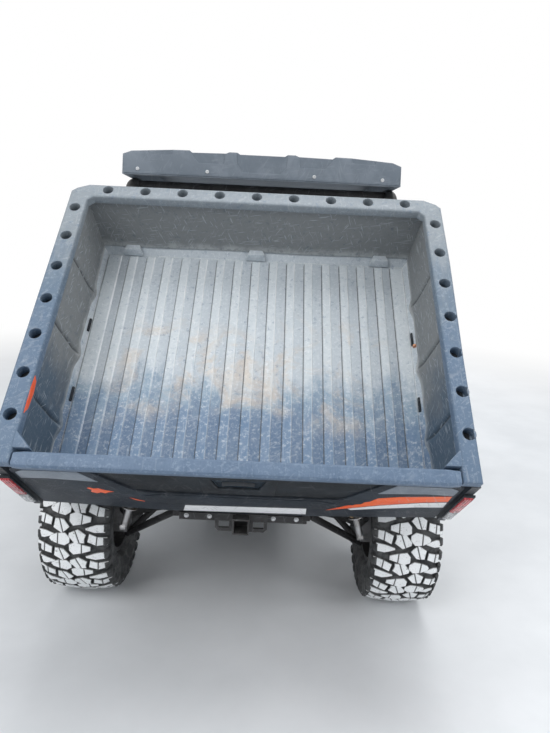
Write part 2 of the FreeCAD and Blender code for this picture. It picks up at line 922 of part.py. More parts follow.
def make_suspension():
    """Arms, dampers and coil springs at all four wheels, and the rear knuckles."""
    bracket = bent_tube("shock_bracket", [
        (S.kingpin_x + 10, -S.knuckle_depth / 2 + 4, AXLE_Z + 10),
        (S.rear_foot_x, S.rear_foot_y + 80, S.rear_foot_z),
        (S.rear_foot_x, S.rear_foot_y + S.shock_eye + S.seat_gap, S.rear_foot_z),
    ], 12, 50)
    rear = fuse("rear_knuckle", knuckle_solid("rear", size_of(0)) + [bracket])
    node("rear_knuckles", pair(rear))

    drop = AXLE_Z - S.knuckle_half_height - S.ball_length
    rise = AXLE_Z + S.knuckle_half_height + S.ball_length
    mount = S.rail_inner + S.rail_width + S.seat_gap + S.arm_radius
    tower = S.rail_inner + S.tower_wall + S.seat_gap + S.arm_radius
    ball = S.ball_length - S.seat_gap
    pivot_z = S.rail_bottom + S.rail_height / 2
    arms = []
    for label, place, upper_x, lower_z, upper_z in (
        ("rear", size_of(0), mount, S.rear_bottom + S.rail_height / 2, AXLE_Z + S.upper_pivot_rear),
        ("front", S.wheelbase, tower, pivot_z, AXLE_Z + S.upper_pivot_front),
    ):
        lower = [cylinder(f"lower_ball_{label}", (S.kingpin_x, place, drop), "z", S.ball_radius, ball)]
        upper = [cylinder(f"upper_ball_{label}", (S.kingpin_x, place, rise - ball), "z", S.ball_radius, ball)]
        for leg, side in (("aft", -1), ("fore", 1)):
            start = (mount, place + side * S.lower_spread, lower_z)
            lower.append(rod(f"lower_{label}_{leg}", start, (S.kingpin_x, place, drop), S.arm_radius))
            start = (upper_x, place + side * S.upper_spread, upper_z)
            upper.append(rod(f"upper_{label}_{leg}", start, (S.kingpin_x, place, rise), S.arm_radius))
        arms += pair(fuse(f"lower_arm_{label}", lower)) + pair(fuse(f"upper_arm_{label}", upper))
    node("suspension_arms", arms)

    share = S.front_foot_share
    foot_z = drop + (pivot_z - drop) * share + S.arm_radius + S.shock_eye + 4
    dampers = []
    springs = []
    legs = (
        # name, foot, head
        ("rear", (S.rear_foot_x, S.rear_foot_y, S.rear_foot_z),
         (S.rear_perch_x, S.rear_perch_y, S.upper_rail_top - 16 - S.seat_gap)),
        ("front", (S.kingpin_x - (S.kingpin_x - mount) * share, S.wheelbase + S.lower_spread * share, foot_z),
         (S.front_perch_x, S.wheelbase + S.tower_half - 6, S.tower_top - S.tower_wall)),
    )
    for label, foot, head in legs:
        along = [size_of(end) - start for start, end in zip(foot, head)]
        at = [[start + part * way for start, way in zip(foot, along)] for part in (0.3, 0.9, 0.97)]
        body = rod(f"damper_{label}_body", foot, at[1], S.shock_radius - 6)
        stem = rod(f"damper_{label}_stem", at[1], at[2], S.shock_radius - 12)
        eye = cylinder(f"damper_{label}_eye", (foot[0] - 11, foot[1], foot[2]), "x", S.shock_eye, 22)
        cap = cylinder(f"damper_{label}_cap", (at[2][0], at[2][1], head[2] - 14), "z", 14, 14)
        rest = S.spring_wire + S.seat_gap
        low_seat = collar(f"spring_seat_{label}", at[0], at[1], -rest - S.spring_seat, S.spring_radius, S.spring_seat)
        high_seat = collar(f"spring_cap_{label}", at[1], at[2], rest, S.spring_radius, S.spring_seat)
        dampers += pair(fuse(f"damper_{label}", [body, stem, eye, cap, low_seat, high_seat]))
        springs += pair(coil(
            f"spring_{label}", at[0], at[1],
            S.spring_radius - S.spring_wire, S.spring_wire, S.spring_turns,
        ))
    node("dampers", dampers)
    node("springs", springs)


def make_steering():
    """Front knuckles, the rack with its tie rods, the column and the steering wheel."""
    arm_y = S.wheelbase - S.steering_arm
    for side, label in ((1, "right"), (-1, "left")):
        solids = knuckle_solid(f"front_{label}", S.wheelbase)
        solids.append(box(
            f"steering_arm_{label}",
            (S.kingpin_x - 8, arm_y - 14, AXLE_Z - 8),
            (S.kingpin_x + 10, S.wheelbase - S.knuckle_depth / 2 + 1, AXLE_Z + 8),
        ))
        solids.append(cylinder(
            f"steering_stud_{label}", (S.kingpin_x, arm_y, AXLE_Z), "z", 4, S.rack_z - AXLE_Z + 16,
        ))
        whole = fuse(f"knuckle_{label}", solids)
        if side < 0:
            whole = mirrored(f"knuckle_{label}_side", whole)
        node(f"front_knuckle_{label}", [whole])

    eye_radius = S.tie_eye_bore + 6
    bar = cylinder(
        "rack_bar", (-(S.kingpin_x - eye_radius + 3), arm_y, S.rack_z), "x",
        S.tie_rod_radius, (S.kingpin_x - eye_radius + 3) * 2,
    )
    eye = cut(
        "tie_eye",
        cylinder("tie_eye_outer", (S.kingpin_x, arm_y, S.rack_z - 12), "z", eye_radius, 24),
        [cylinder("tie_eye_hole", (S.kingpin_x, arm_y, S.rack_z - 13), "z", S.tie_eye_bore, 26)],
    )
    node("tie_rods", [fuse("rack_and_rods", [bar] + pair(eye))])
    case_radius = S.tie_rod_radius + 18
    case = cylinder("rack_case_outer", (-S.rack_case_half, arm_y, S.rack_z), "x", case_radius, S.rack_case_half * 2)
    bore = cylinder(
        "rack_case_bore", (-S.rack_case_half - 1, arm_y, S.rack_z), "x",
        S.tie_rod_radius + S.running_gap, S.rack_case_half * 2 + 2,
    )
    foot = box(
        "rack_foot",
        (-S.rail_inner + S.seat_gap, arm_y - 20, S.rail_bottom + 10),
        (S.rail_inner - S.seat_gap, arm_y + 20, S.rack_z - case_radius + 6),
    )
    node("steering_rack", [cut("rack_case", fuse("rack_case_whole", [case, foot]), [bore])])

    angle = math.radians(S.column_angle.value)
    back = Vector(0, -math.cos(angle), math.sin(angle))
    along_face = Vector(0, math.sin(angle), math.cos(angle))
    face = values((S.column_x, S.dash_rear, S.dash_foot)) + along_face * (S.dash_face.value / 2)
    foot_point = face + back * S.seat_gap.value
    length = S.column_length.value
    column = Part.makeCylinder(S.column_radius.value, length, foot_point, back)
    node("steering_column", [shaped("column", column)])

    centre = foot_point + back * (length + 25)
    turn = Rotation(Vector(0, 0, 1), back)
    rings = []
    for step in range(36):
        out = Vector(math.cos(math.pi * step / 18), math.sin(math.pi * step / 18), 0)
        rings.append([
            out * (S.steering_wheel_radius.value + S.steering_rim_radius.value * math.cos(math.pi * side / 5))
            + Vector(0, 0, S.steering_rim_radius.value * math.sin(math.pi * side / 5))
            for side in range(10)
        ])
    rim = faceted(rings + rings[:1])
    hub = Part.makeCylinder(S.steering_hub_radius.value, 40, Vector(0, 0, -24.5))
    spokes = []
    for degrees in (0, 180, 270):
        spoke = Part.makeBox(
            S.steering_wheel_radius.value - 20, 30, 8, Vector(15, -15, -12)
        )
        spoke.rotate(Vector(), Vector(0, 0, 1), degrees)
        spokes.append(spoke)
    wheel = rim.fuse([hub] + spokes)
    wheel.Placement = Placement(centre, turn)
    node("steering_wheel", [shaped("steering_ring", wheel)])


# Cab

def make_cage():
    """Two side hoops joined by cross tubes."""
    top = S.cage_top_z
    hoop = bent_tube("side_hoop", [
        (S.cage_x, S.cage_rear_y, S.cage_beam_bottom + S.cage_beam_height + S.seat_gap),
        (S.cage_x, S.cage_rear_y, S.cage_beam_bottom + S.cage_beam_height + 90),
        (S.cage_x, S.cage_top_y, top),
        (S.cage_x, S.cage_front_y, top),
        (S.cage_x, S.pillar_knee_y, S.pillar_knee_z),
        (S.cage_x, S.pillar_foot_y, S.pillar_foot_z),
        (S.cage_x, S.pillar_foot_y, S.sill_bottom + S.sill_height + S.seat_gap),
    ], S.tube_radius, S.cage_bend)
    lean = (S.cage_top_y - S.cage_rear_y) / (top - S.cage_beam_bottom)
    belt_y = S.cage_rear_y + (S.belt_tube_z - S.cage_beam_bottom) * lean
    crossings = []
    for name, place, height in (
        ("belt", belt_y, S.belt_tube_z),
        ("header_rear", S.cage_top_y + 110, top),
        ("header_front", S.cage_front_y - 60, top),
    ):
        crossings.append(cylinder(
            f"cross_{name}", (-S.cage_x, place, height), "x", S.cross_tube_radius, S.cage_x * 2,
        ))
    node("cage", [fuse("cage_tubes", pair(hoop) + crossings)])


def make_roof():
    """A moulded roof whose rear edge steps up and down across its width."""
    under = S.cage_top_z + S.tube_radius + S.seat_gap
    top = under + S.roof_height
    steps = [
        # across, height below the highest ridge
        (0.993, 30), (0.93, 14), (0.633, 1), (0.52, 0), (0.5, 10), (0.26, 7), (0.235, 0), (0.18, 0), (0.16, 9),
    ]
    half = [(S.roof_half * share, top - fall) for share, fall in steps]
    points = [(S.roof_half, under)] + half
    points += [(-across, height) for across, height in reversed(half)] + [(-S.roof_half, under)]
    slab = prism("roof_slab", "rear", points, S.roof_rear, S.roof_front - S.roof_rear)
    wall = S.roof_wall
    hollow = box(
        "roof_hollow",
        (-S.roof_half + wall, S.roof_rear + wall, under - 1),
        (S.roof_half - wall, S.roof_front - wall, top - wall - 12),
    )
    slope = prism("roof_slope", "side", [
        (S.roof_front - 260, top + 1),
        (S.roof_front + 1, under + 45),
        (S.roof_front + 1, top + 1),
    ], -S.roof_half - 1, S.roof_half * 2 + 2)
    panels = pair(prism("roof_panel", "top", [
        (S.roof_panel_inner, S.roof_rear + 70),
        (S.roof_half * 0.5 - 20, S.roof_rear + 70),
        (S.roof_half * 0.5 - 20, S.roof_front - 330),
        (S.roof_panel_inner, S.roof_front - 300),
    ], top - 9 - S.roof_panel_depth, 30))
    node("roof", [cut("roof_shell", slab, [hollow, slope] + panels)])


def make_cab():
    """Floor tub with its sills, seat base, bench, dash."""
    floor = S.rail_bottom + S.rail_height + S.seat_gap
    wall = S.tub_wall
    half = S.tub_half
    pan = prism("floor_pan", "side", [
        (S.tub_rear, floor),
        (S.toe_y - 40, floor),
        (S.toe_y, floor + 90),
        (S.toe_y, S.toe_top),
        (S.toe_y - wall, S.toe_top),
        (S.toe_y - wall, floor + 90),
        (S.toe_y - 40 - wall, floor + wall),
        (S.tub_rear, floor + wall),
    ], -half, half * 2)
    sill = prism("sill", "rear", [
        (half - 10, S.sill_bottom),
        (S.sill_reach - 12, S.sill_bottom),
        (S.sill_reach, S.sill_bottom + 20),
        (S.sill_reach, S.sill_bottom + S.sill_height - 12),
        (S.sill_reach - 14, S.sill_bottom + S.sill_height),
        (half - 10, S.sill_bottom + S.sill_height),
    ], S.tub_rear, S.toe_y - S.tub_rear + 14)
    node("floor_tub", [fuse("tub", [pan] + pair(sill))])

    deck = floor + wall + S.seat_gap
    inside = half - 10 - S.seat_gap
    node("seat_base", [prism("bench_box", "side", [
        (S.seat_base_rear, deck),
        (S.seat_base_front - 40, deck),
        (S.seat_base_front, S.seat_base_top - 60),
        (S.seat_base_front, S.seat_base_top),
        (S.seat_base_rear, S.seat_base_top),
    ], -inside, inside * 2)])

    seat = S.seat_base_top + S.seat_gap
    node("seat_cushion", [prism("cushion", "side", [
        (S.back_foot + 6, seat),
        (S.cushion_front - 70, seat),
        (S.cushion_front, seat + 40),
        (S.cushion_front - 10, seat + S.cushion_height),
        (S.back_foot + 6, seat + S.cushion_height - 24),
    ], -S.seat_half, S.seat_half * 2)])
    rise = S.back_top - seat
    node("seat_back", [prism("backrest", "side", [
        (S.back_foot - S.back_thick, seat),
        (S.back_foot, seat),
        (S.back_foot - S.back_lean + 8, seat + rise - 20),
        (S.back_foot - S.back_lean - 10, seat + rise),
        (S.back_foot - S.back_lean - S.back_thick + 20, seat + rise),
    ], -S.seat_half, S.seat_half * 2)])

    lean = 90 - S.column_angle
    node("dash", [prism("dash_body", "side", [
        (S.dash_rear, S.dash_foot),
        (S.dash_rear + S.dash_face * cosine(lean), S.dash_foot + S.dash_face * sine(lean)),
        (S.dash_rear + S.dash_face * cosine(lean) + 60, S.dash_top),
        (S.dash_front, S.dash_top),
        (S.dash_front, S.toe_top + S.seat_gap + 40),
        (S.toe_y + 40, S.toe_top + S.seat_gap),
        (S.toe_y - 90, S.toe_top + S.seat_gap),
    ], -S.dash_half, S.dash_half * 2)])


def make_nose():
    """Hood, fenders, fascia, grille, headlamps, bumper and radiator."""
    wall = S.hood_wall
    rear = S.dash_front + S.seat_gap
    side = prism("hood_side", "side", [
        (rear, S.hood_rear_z),
        (rear + 360, S.hood_mid_z),
        (S.nose_y - 60, S.hood_nose_z + 26),
        (S.nose_y, S.hood_nose_z),
        (S.nose_y, S.hood_nose_z - wall),
        (S.nose_y - 62, S.hood_nose_z + 26 - wall),
        (rear + 358, S.hood_mid_z - wall),
        (rear, S.hood_rear_z - wall),
    ], -S.hood_half, S.hood_half * 2)
    plan = prism("hood_plan", "top", [
        (-S.hood_half, rear),
        (S.hood_half, rear),
        (S.hood_nose_half, S.nose_y),
        (-S.hood_nose_half, S.nose_y),
    ], S.hood_nose_z - 60, S.hood_rear_z - S.hood_nose_z + 80)
    node("hood", [common("hood_panel", side, plan)])

    gap = S.seat_gap
    inner = S.hood_half + gap
    outer = S.fender_half
    skin = prism("fender_block", "side", [
        (S.toe_y + 80, S.toe_top - 20),
        (S.dash_front + S.moving_gap, S.toe_top - 20),
        (S.pillar_knee_y + 50, S.dash_top - 20),
        (rear + 360, S.hood_mid_z - 20),
        (S.nose_y - 60, S.hood_nose_z),
        (S.nose_y, S.hood_nose_z - 60),
        (S.nose_y, AXLE_Z + S.fender_rise),
        (S.toe_y + 80, AXLE_Z + S.fender_rise),
    ], inner, outer - inner)
    thick = S.fender_wall
    hollow = prism("fender_hollow", "side", [
        (S.toe_y + 80 + thick, S.toe_top - 20 - thick),
        (S.dash_front + S.moving_gap + thick, S.toe_top - 20 - thick),
        (S.pillar_knee_y + 50 + thick, S.dash_top - 20 - thick),
        (rear + 360, S.hood_mid_z - 20 - thick),
        (S.nose_y - 60 - thick, S.hood_nose_z - thick),
        (S.nose_y - thick, S.hood_nose_z - 60 - thick),
        (S.nose_y - thick, AXLE_Z),
        (S.toe_y + 80 + thick, AXLE_Z),
    ], inner + thick, outer - inner - thick * 2)
    arch = cylinder("fender_arch", (inner - 1, S.wheelbase, AXLE_Z), "x", S.arch_radius, outer - inner + 2)
    node("front_fenders", pair(cut("fender", skin, [hollow, arch])))

    depth = S.fascia_depth
    top = S.hood_nose_z - wall - gap
    shell = prism("fascia_block", "side", [
        (S.nose_y - depth, S.fascia_bottom),
        (S.nose_y + 20, S.fascia_bottom + 20),
        (S.nose_y + 40, S.fascia_bottom + 160),
        (S.nose_y, top),
        (S.nose_y - depth, top),
    ], -S.fascia_half, S.fascia_half * 2)
    mouth = box(
        "grille_mouth",
        (-S.grille_half, S.nose_y - depth - 1, S.grille_bottom),
        (S.grille_half, S.nose_y + 60, S.grille_bottom + S.grille_height),
    )
    eyes = pair(box(
        "lamp_mouth",
        (S.headlamp_x - S.lamp_half, S.nose_y - depth - 1, S.headlamp_z - S.headlamp_height / 2),
        (S.headlamp_x + S.lamp_half, S.nose_y + 60, S.headlamp_z + S.headlamp_height / 2),
    ))
    node("front_fascia", [cut("fascia", shell, [mouth] + eyes)])
    slats = []
    for number in range(SIZES["grille_slats"]):
        share = (number + 0.5) / SIZES["grille_slats"]
        height = S.grille_bottom + S.grille_height * share
        slats.append(box(
            f"slat{number}",
            (-S.grille_half + gap, S.nose_y - 30, height - 6),
            (S.grille_half - gap, S.nose_y, height + 6),
        ))
    for number, across in enumerate((-1, 0, 1)):
        middle = (S.grille_half - 14) * across
        slats.append(box(
            f"grille_bar{number}",
            (middle - 6, S.nose_y - 34, S.grille_bottom + gap),
            (middle + 6, S.nose_y - 6, S.grille_bottom + S.grille_height - gap),
        ))
    node("grille", [fuse("grille_frame", slats)])
    lamp = box(
        "headlamp",
        (S.headlamp_x - S.lamp_half + gap, S.nose_y - depth + 4, S.headlamp_z - S.headlamp_height / 2 + gap),
        (S.headlamp_x + S.lamp_half - gap, S.nose_y + 8, S.headlamp_z + S.headlamp_height / 2 - gap),
    )
    node("headlamps", pair(lamp))
    node("radiator", [box(
        "radiator_core",
        (-S.rail_inner + 10, S.rail_front - 90, S.rail_bottom + S.rail_height + gap),
        (S.rail_inner - 10, S.rail_front - 50, S.tower_top),
    )])

    rail_x = S.rail_inner + S.rail_width / 2
    rail_z = S.rail_bottom + S.rail_height / 2
    hoop = bent_tube("bumper_hoop", [
        (-rail_x, S.rail_front + gap, rail_z),
        (-rail_x, S.bumper_y - 90, rail_z),
        (-rail_x, S.bumper_y, rail_z + 90),
        (-rail_x, S.bumper_y, S.bumper_top),
        (rail_x, S.bumper_y, S.bumper_top),
        (rail_x, S.bumper_y, rail_z + 90),
        (rail_x, S.bumper_y - 90, rail_z),
        (rail_x, S.rail_front + gap, rail_z),
    ], S.bumper_radius, 64)
    bar_z = rail_z + S.bumper_bar_rise
    bar = cylinder("bumper_bar", (-rail_x, S.bumper_y, bar_z), "x", S.bumper_radius - 4, rail_x * 2)
    node("front_bumper", [fuse("bumper", [hoop, bar])])


# Bed

def rail_hole_spots():
    """Centres of the round holes along the bed's side and front rails."""
    spots = []
    for number in range(SIZES["side_holes"]):
        place = S.first_hole_y - S.rail_hole_pitch * number
        spots += [(S.side_hole_x, place), (-S.side_hole_x, place)]
    middle = (SIZES["front_holes"] - 1) / 2
    for number in range(SIZES["front_holes"]):
        spots.append((S.rail_hole_pitch * (number - middle), S.front_hole_y))
    return spots


def make_bed():
    """The moulded cargo box with its top rail, its steel frame, side skins and tail lamps."""
    half = S.bed_half
    wall = S.bed_wall
    floor = S.bed_bottom + S.bed_floor
    under = S.bed_top - S.rail_plate
    block = box("bed_block", (-half, -S.bed_rear, S.bed_bottom), (half, S.bed_front, S.bed_top))
    edge = half + S.rail_overhang
    front = S.bed_front + wall
    plate = prism("rail_plate", "top", [
        (-edge, -S.bed_rear - S.rail_tail),
        (edge, -S.bed_rear - S.rail_tail),
        (edge, front - S.corner_cut * 0.6),
        (edge - S.corner_cut, front),
        (-edge + S.corner_cut, front),
        (-edge, front - S.corner_cut * 0.6),
    ], under, S.rail_plate)
    cavity = box(
        "bed_cavity",
        (-half + wall, -S.bed_rear - 1, floor),
        (half - wall, S.bed_front - wall, under),
    )
    mouth_half = half - wall - S.rail_lip
    mouth_front = S.bed_front - wall - S.rail_lip - 8
    mouth = prism("bed_mouth", "top", [
        (-mouth_half, -S.bed_rear - S.rail_tail - 1),
        (mouth_half, -S.bed_rear - S.rail_tail - 1),
        (mouth_half, mouth_front),
        (-mouth_half, mouth_front),
    ], under - 1, S.rail_plate + 2)
    gate_room = box(
        "gate_room",
        (-S.cap_half - S.moving_gap, -S.bed_rear - S.rail_tail - 2, under - 1),
        (S.cap_half + S.moving_gap, -S.bed_rear, S.bed_top + 1),
    )
    holes = []
    for number, (across, place) in enumerate(rail_hole_spots()):
        spot = (across, place, under)
        holes.append(cylinder(f"rail_hole{number}", spot, "z", S.rail_hole_radius, S.rail_plate + 1))
    tools = [cavity, mouth, gate_room] + holes
    tub = cut("bed_tub", fuse("bed_body", [block, plate]), tools)
    inside = half - wall
    head = S.bed_front - wall
    ribs = []
    rib_ends = [
        (-S.bed_rear + 3, floor - 1),
        (-S.bed_rear + 9, floor + S.rib_height),
        (head - S.front_ledge - 20, floor + S.rib_height),
        (head - S.front_ledge - 4, floor - 1),
    ]
    for number in range(SIZES["rib_count"]):
        across = S.rib_pitch * (number - (SIZES["rib_count"] - 1) / 2)
        ribs.append(prism(f"floor_rib{number}", "side", rib_ends, across - S.rib_half, S.rib_half * 2))
    ribs += pair(prism("edge_rib", "side", rib_ends, S.edge_rib_x - S.edge_rib_half, S.edge_rib_half * 2))
    ribs += pair(prism("floor_fillet", "rear", [
        (inside - S.floor_fillet, floor - 1),
        (inside + 1, floor + S.floor_fillet - 2),
        (inside + 1, floor - 1),
    ], -S.bed_rear, head + S.bed_rear))
    ribs.append(prism("front_ledge", "side", [
        (head - S.front_ledge, floor - 1),
        (head - S.front_ledge + 4, floor + 4),
        (head + 1, floor + S.front_ledge - 6),
        (head + 1, floor - 1),
    ], -inside, inside * 2))
    under_rail = half - wall - S.rail_lip
    ribs += pair(prism("rail_gusset", "top", [
        (under_rail + 1, -S.bed_rear),
        (under_rail + 1, -S.bed_rear + S.gusset + 4),
        (under_rail, -S.bed_rear + S.gusset + 4),
        (under_rail - S.gusset + 2, -S.bed_rear + 2),
        (under_rail - S.gusset + 2, -S.bed_rear),
    ], under, S.rail_plate))
    bed_node("bed_liner", [fuse("liner", [tub] + ribs)])

    inner = S.channel_inner
    outer = inner + S.channel_width
    top = S.bed_bottom - S.seat_gap
    low = S.bed_bottom - S.channel_height
    channel = box("bed_channel", (inner, -40, low), (outer, S.bed_front - 60, top))
    ear = cut(
        "bed_ear",
        prism("bed_ear_plate", "side", [
            (-26, low + 2),
            (26, low + 2),
            (22, -14),
            (0, -26),
            (-22, -14),
        ], inner, 16),
        [cylinder("bed_ear_bore", (inner - 1, 0, 0), "x", S.pin_radius + S.running_gap, 18)],
    )
    strap = prism("gate_strap", "side", [
        (S.gate_hinge_y - 7, S.gate_hinge_z + 7),
        (-S.bed_rear - S.seat_gap, S.gate_hinge_z + 7),
        (-S.bed_rear - S.seat_gap, top),
        (-38, top),
        (-38, top - 4),
        (S.gate_hinge_y - 7, top - 4),
    ], S.gate_sleeve_x - S.ear_wall - 1, S.ear_wall)
    tail = box(
        "tail_member",
        (0, -40, low + 30),
        (S.gate_sleeve_x + 100, 0, top),
    )
    pin = cylinder(
        "gate_pin", (S.gate_sleeve_x - 2, S.gate_hinge_y, S.gate_hinge_z), "x",
        S.gate_pin_radius, S.gate_sleeve_length + 10,
    )
    rights = [channel, ear, strap, tail]
    solids = []
    for solid in rights:
        solids += pair(solid)
    solids += pair(pin)
    for number, place in enumerate((S.strut_eye_y - 30, S.bed_front - 120)):
        solids.append(box(f"bed_cross{number}", (-inner - 1, place, low), (inner + 1, place + 60, top)))
    room = S.strut_eye_width / 2 + S.moving_gap
    for side in (-1, 1):
        start = S.strut_x + side * (room + 3) - 3
        solids.append(box(
            f"strut_ear{'a' if side < 0 else 'b'}",
            (start, S.strut_eye_y - 18, -16),
            (start + 6, S.strut_eye_y + 18, low + 1),
        ))
    solids.append(cylinder(
        "strut_bed_pin", (S.strut_x - room - 6, S.strut_eye_y, 0), "x", S.strut_pin_radius - 1, (room + 6) * 2,
    ))
    bed_node("bed_frame", [fuse("bed_steel", solids)])

    gap = S.seat_gap
    axle_y = -S.hinge_y
    axle_z = AXLE_Z - S.hinge_z
    tail_y = -S.bed_rear - S.rail_tail
    skin = prism("skin_outline", "side", [
        (tail_y, S.gate_end_bottom - 20),
        (-S.bed_rear, S.skin_bottom - 20),
        (S.bed_front - 160, S.skin_bottom),
        (S.bed_front, S.bed_bottom),
        (S.bed_front, under - gap),
        (tail_y, under - gap),
    ], half + gap, S.skin_wall)
    arch = cylinder("skin_arch", (half, axle_y, axle_z), "x", S.arch_radius, S.skin_wall + 2)
    bed_node("bed_skins", pair(cut("skin", skin, [arch])))
    lamp = prism("lamp_outline", "rear", [
        (half + 2, S.bed_bottom - 6),
        (half + 30, S.bed_bottom),
        (half + 36, under - 70),
        (half + 2, under - 66),
    ], tail_y - 14, 14 - gap)
    bed_node("tail_lamps", pair(lamp))


def make_tailgate():
    """The tailgate's board and outer skin, its cap and its latch handle."""
    inside = -S.bed_rear - S.moving_gap
    board = box(
        "gate_board",
        (-S.gate_board_half, inside - S.gate_board, S.gate_hinge_z + 12),
        (S.gate_board_half, inside, S.bed_top - S.rail_plate),
    )
    skin_half = S.gate_half
    mid = S.gate_mid_half
    face = inside - S.gate_board - S.gate_skin
    skirt = [
        (-skin_half, S.gate_end_bottom),
        (-mid, S.gate_mid_bottom),
        (mid, S.gate_mid_bottom),
        (skin_half, S.gate_end_bottom),
    ]
    skin = prism("gate_skin", "rear", skirt + [
        (skin_half, S.gate_top),
        (-skin_half, S.gate_top),
    ], face + S.gate_relief * 2, S.gate_skin - S.gate_relief * 2 + 2)
    raised = prism("gate_raised_panel", "rear", skirt + [
        (skin_half, S.gate_top - 16),
        (skin_half - 8, S.gate_top - 2),
        (S.recess_top_half, S.gate_top - 2),
        (S.recess_half, S.recess_low),
        (-S.recess_half, S.recess_low),
        (-S.recess_top_half, S.gate_top - 2),
        (8 - skin_half, S.gate_top - 2),
        (-skin_half, S.gate_top - 16),
    ], face + S.gate_relief, S.gate_relief + 1)
    band = prism("gate_band", "rear", [
        (30 - S.band_half, S.band_low),
        (S.band_half - 30, S.band_low),
        (S.band_half + 60, S.band_high - 22),
        (S.band_half, S.band_high),
        (-S.band_half, S.band_high),
        (-S.band_half - 60, S.band_high - 22),
    ], face, S.gate_relief + 1)
    border = prism("latch_border", "rear", [
        (-S.latch_half - S.latch_border, S.latch_low - S.latch_border * 2),
        (S.latch_half + S.latch_border, S.latch_low - S.latch_border * 2),
        (S.latch_half + S.latch_border * 1.5, S.latch_high + S.latch_border),
        (-S.latch_half - S.latch_border * 1.5, S.latch_high + S.latch_border),
    ], face + 1, S.gate_relief * 2)
    sleeve = cut(
        "gate_sleeve",
        fuse("gate_sleeve_whole", [
            cylinder(
                "gate_sleeve_tube", (S.gate_sleeve_x, S.gate_hinge_y, S.gate_hinge_z), "x",
                S.gate_sleeve_radius, S.gate_sleeve_length,
            ),
            box(
                "gate_sleeve_web",
                (S.gate_sleeve_x, S.gate_hinge_y - 6, S.gate_hinge_z),
                (S.gate_sleeve_x + S.gate_sleeve_length, S.gate_hinge_y + 6, S.gate_hinge_z + 14),
            ),
        ]),
        [cylinder(
            "gate_sleeve_bore", (S.gate_sleeve_x - 1, S.gate_hinge_y, S.gate_hinge_z), "x",
            S.gate_pin_radius + S.running_gap, S.gate_sleeve_length + 2,
        )],
    )
    recess = prism("handle_recess", "rear", [
        (-S.latch_half, S.latch_high),
        (S.latch_half, S.latch_high),
        (S.latch_foot_half, S.latch_low),
        (-S.latch_foot_half, S.latch_low),
    ], face - 1, S.latch_depth)
    strap_out = S.gate_sleeve_x
    relief = box(
        "strap_relief",
        (strap_out - S.ear_wall - 1 - S.moving_gap, S.gate_hinge_y - S.strap_room, S.gate_mid_bottom - 1),
        (strap_out, inside + 1, S.gate_hinge_z + S.strap_room),
    )
    lower = box(
        "skirt_relief",
        (-skin_half - 1, S.gate_hinge_y - S.strap_room, S.gate_mid_bottom - 1),
        (skin_half + 1, inside + 1, S.gate_hinge_z - S.gate_sleeve_radius),
    )
    body = fuse("gate_body", [board, skin, raised, band, border] + pair(sleeve))
    bed_node("tailgate_panel", [cut("gate_panel", body, [recess, lower] + pair(relief))])

    cap_low = S.bed_top - S.rail_plate + S.seat_gap
    cap_inner = -S.bed_rear - S.moving_gap
    cap_outer = -S.bed_rear - S.cap_reach
    bed_node("tailgate_cap", [prism("gate_cap", "side", [
        (cap_inner, cap_low),
        (cap_inner, S.bed_top - 4),
        (cap_inner - 6, S.bed_top),
        (cap_outer + S.cap_chamfer, S.bed_top),
        (cap_outer, S.bed_top - S.cap_chamfer),
        (cap_outer, cap_low),
    ], -S.cap_half, S.cap_half * 2)])
    bed_node("tailgate_handle", [box(
        "gate_handle",
        (16 - S.latch_foot_half, face + 3, S.latch_low + 22),
        (S.latch_foot_half - 16, face + S.latch_depth - 1 - S.seat_gap, S.latch_low + 56),
    )])


# Lift strut

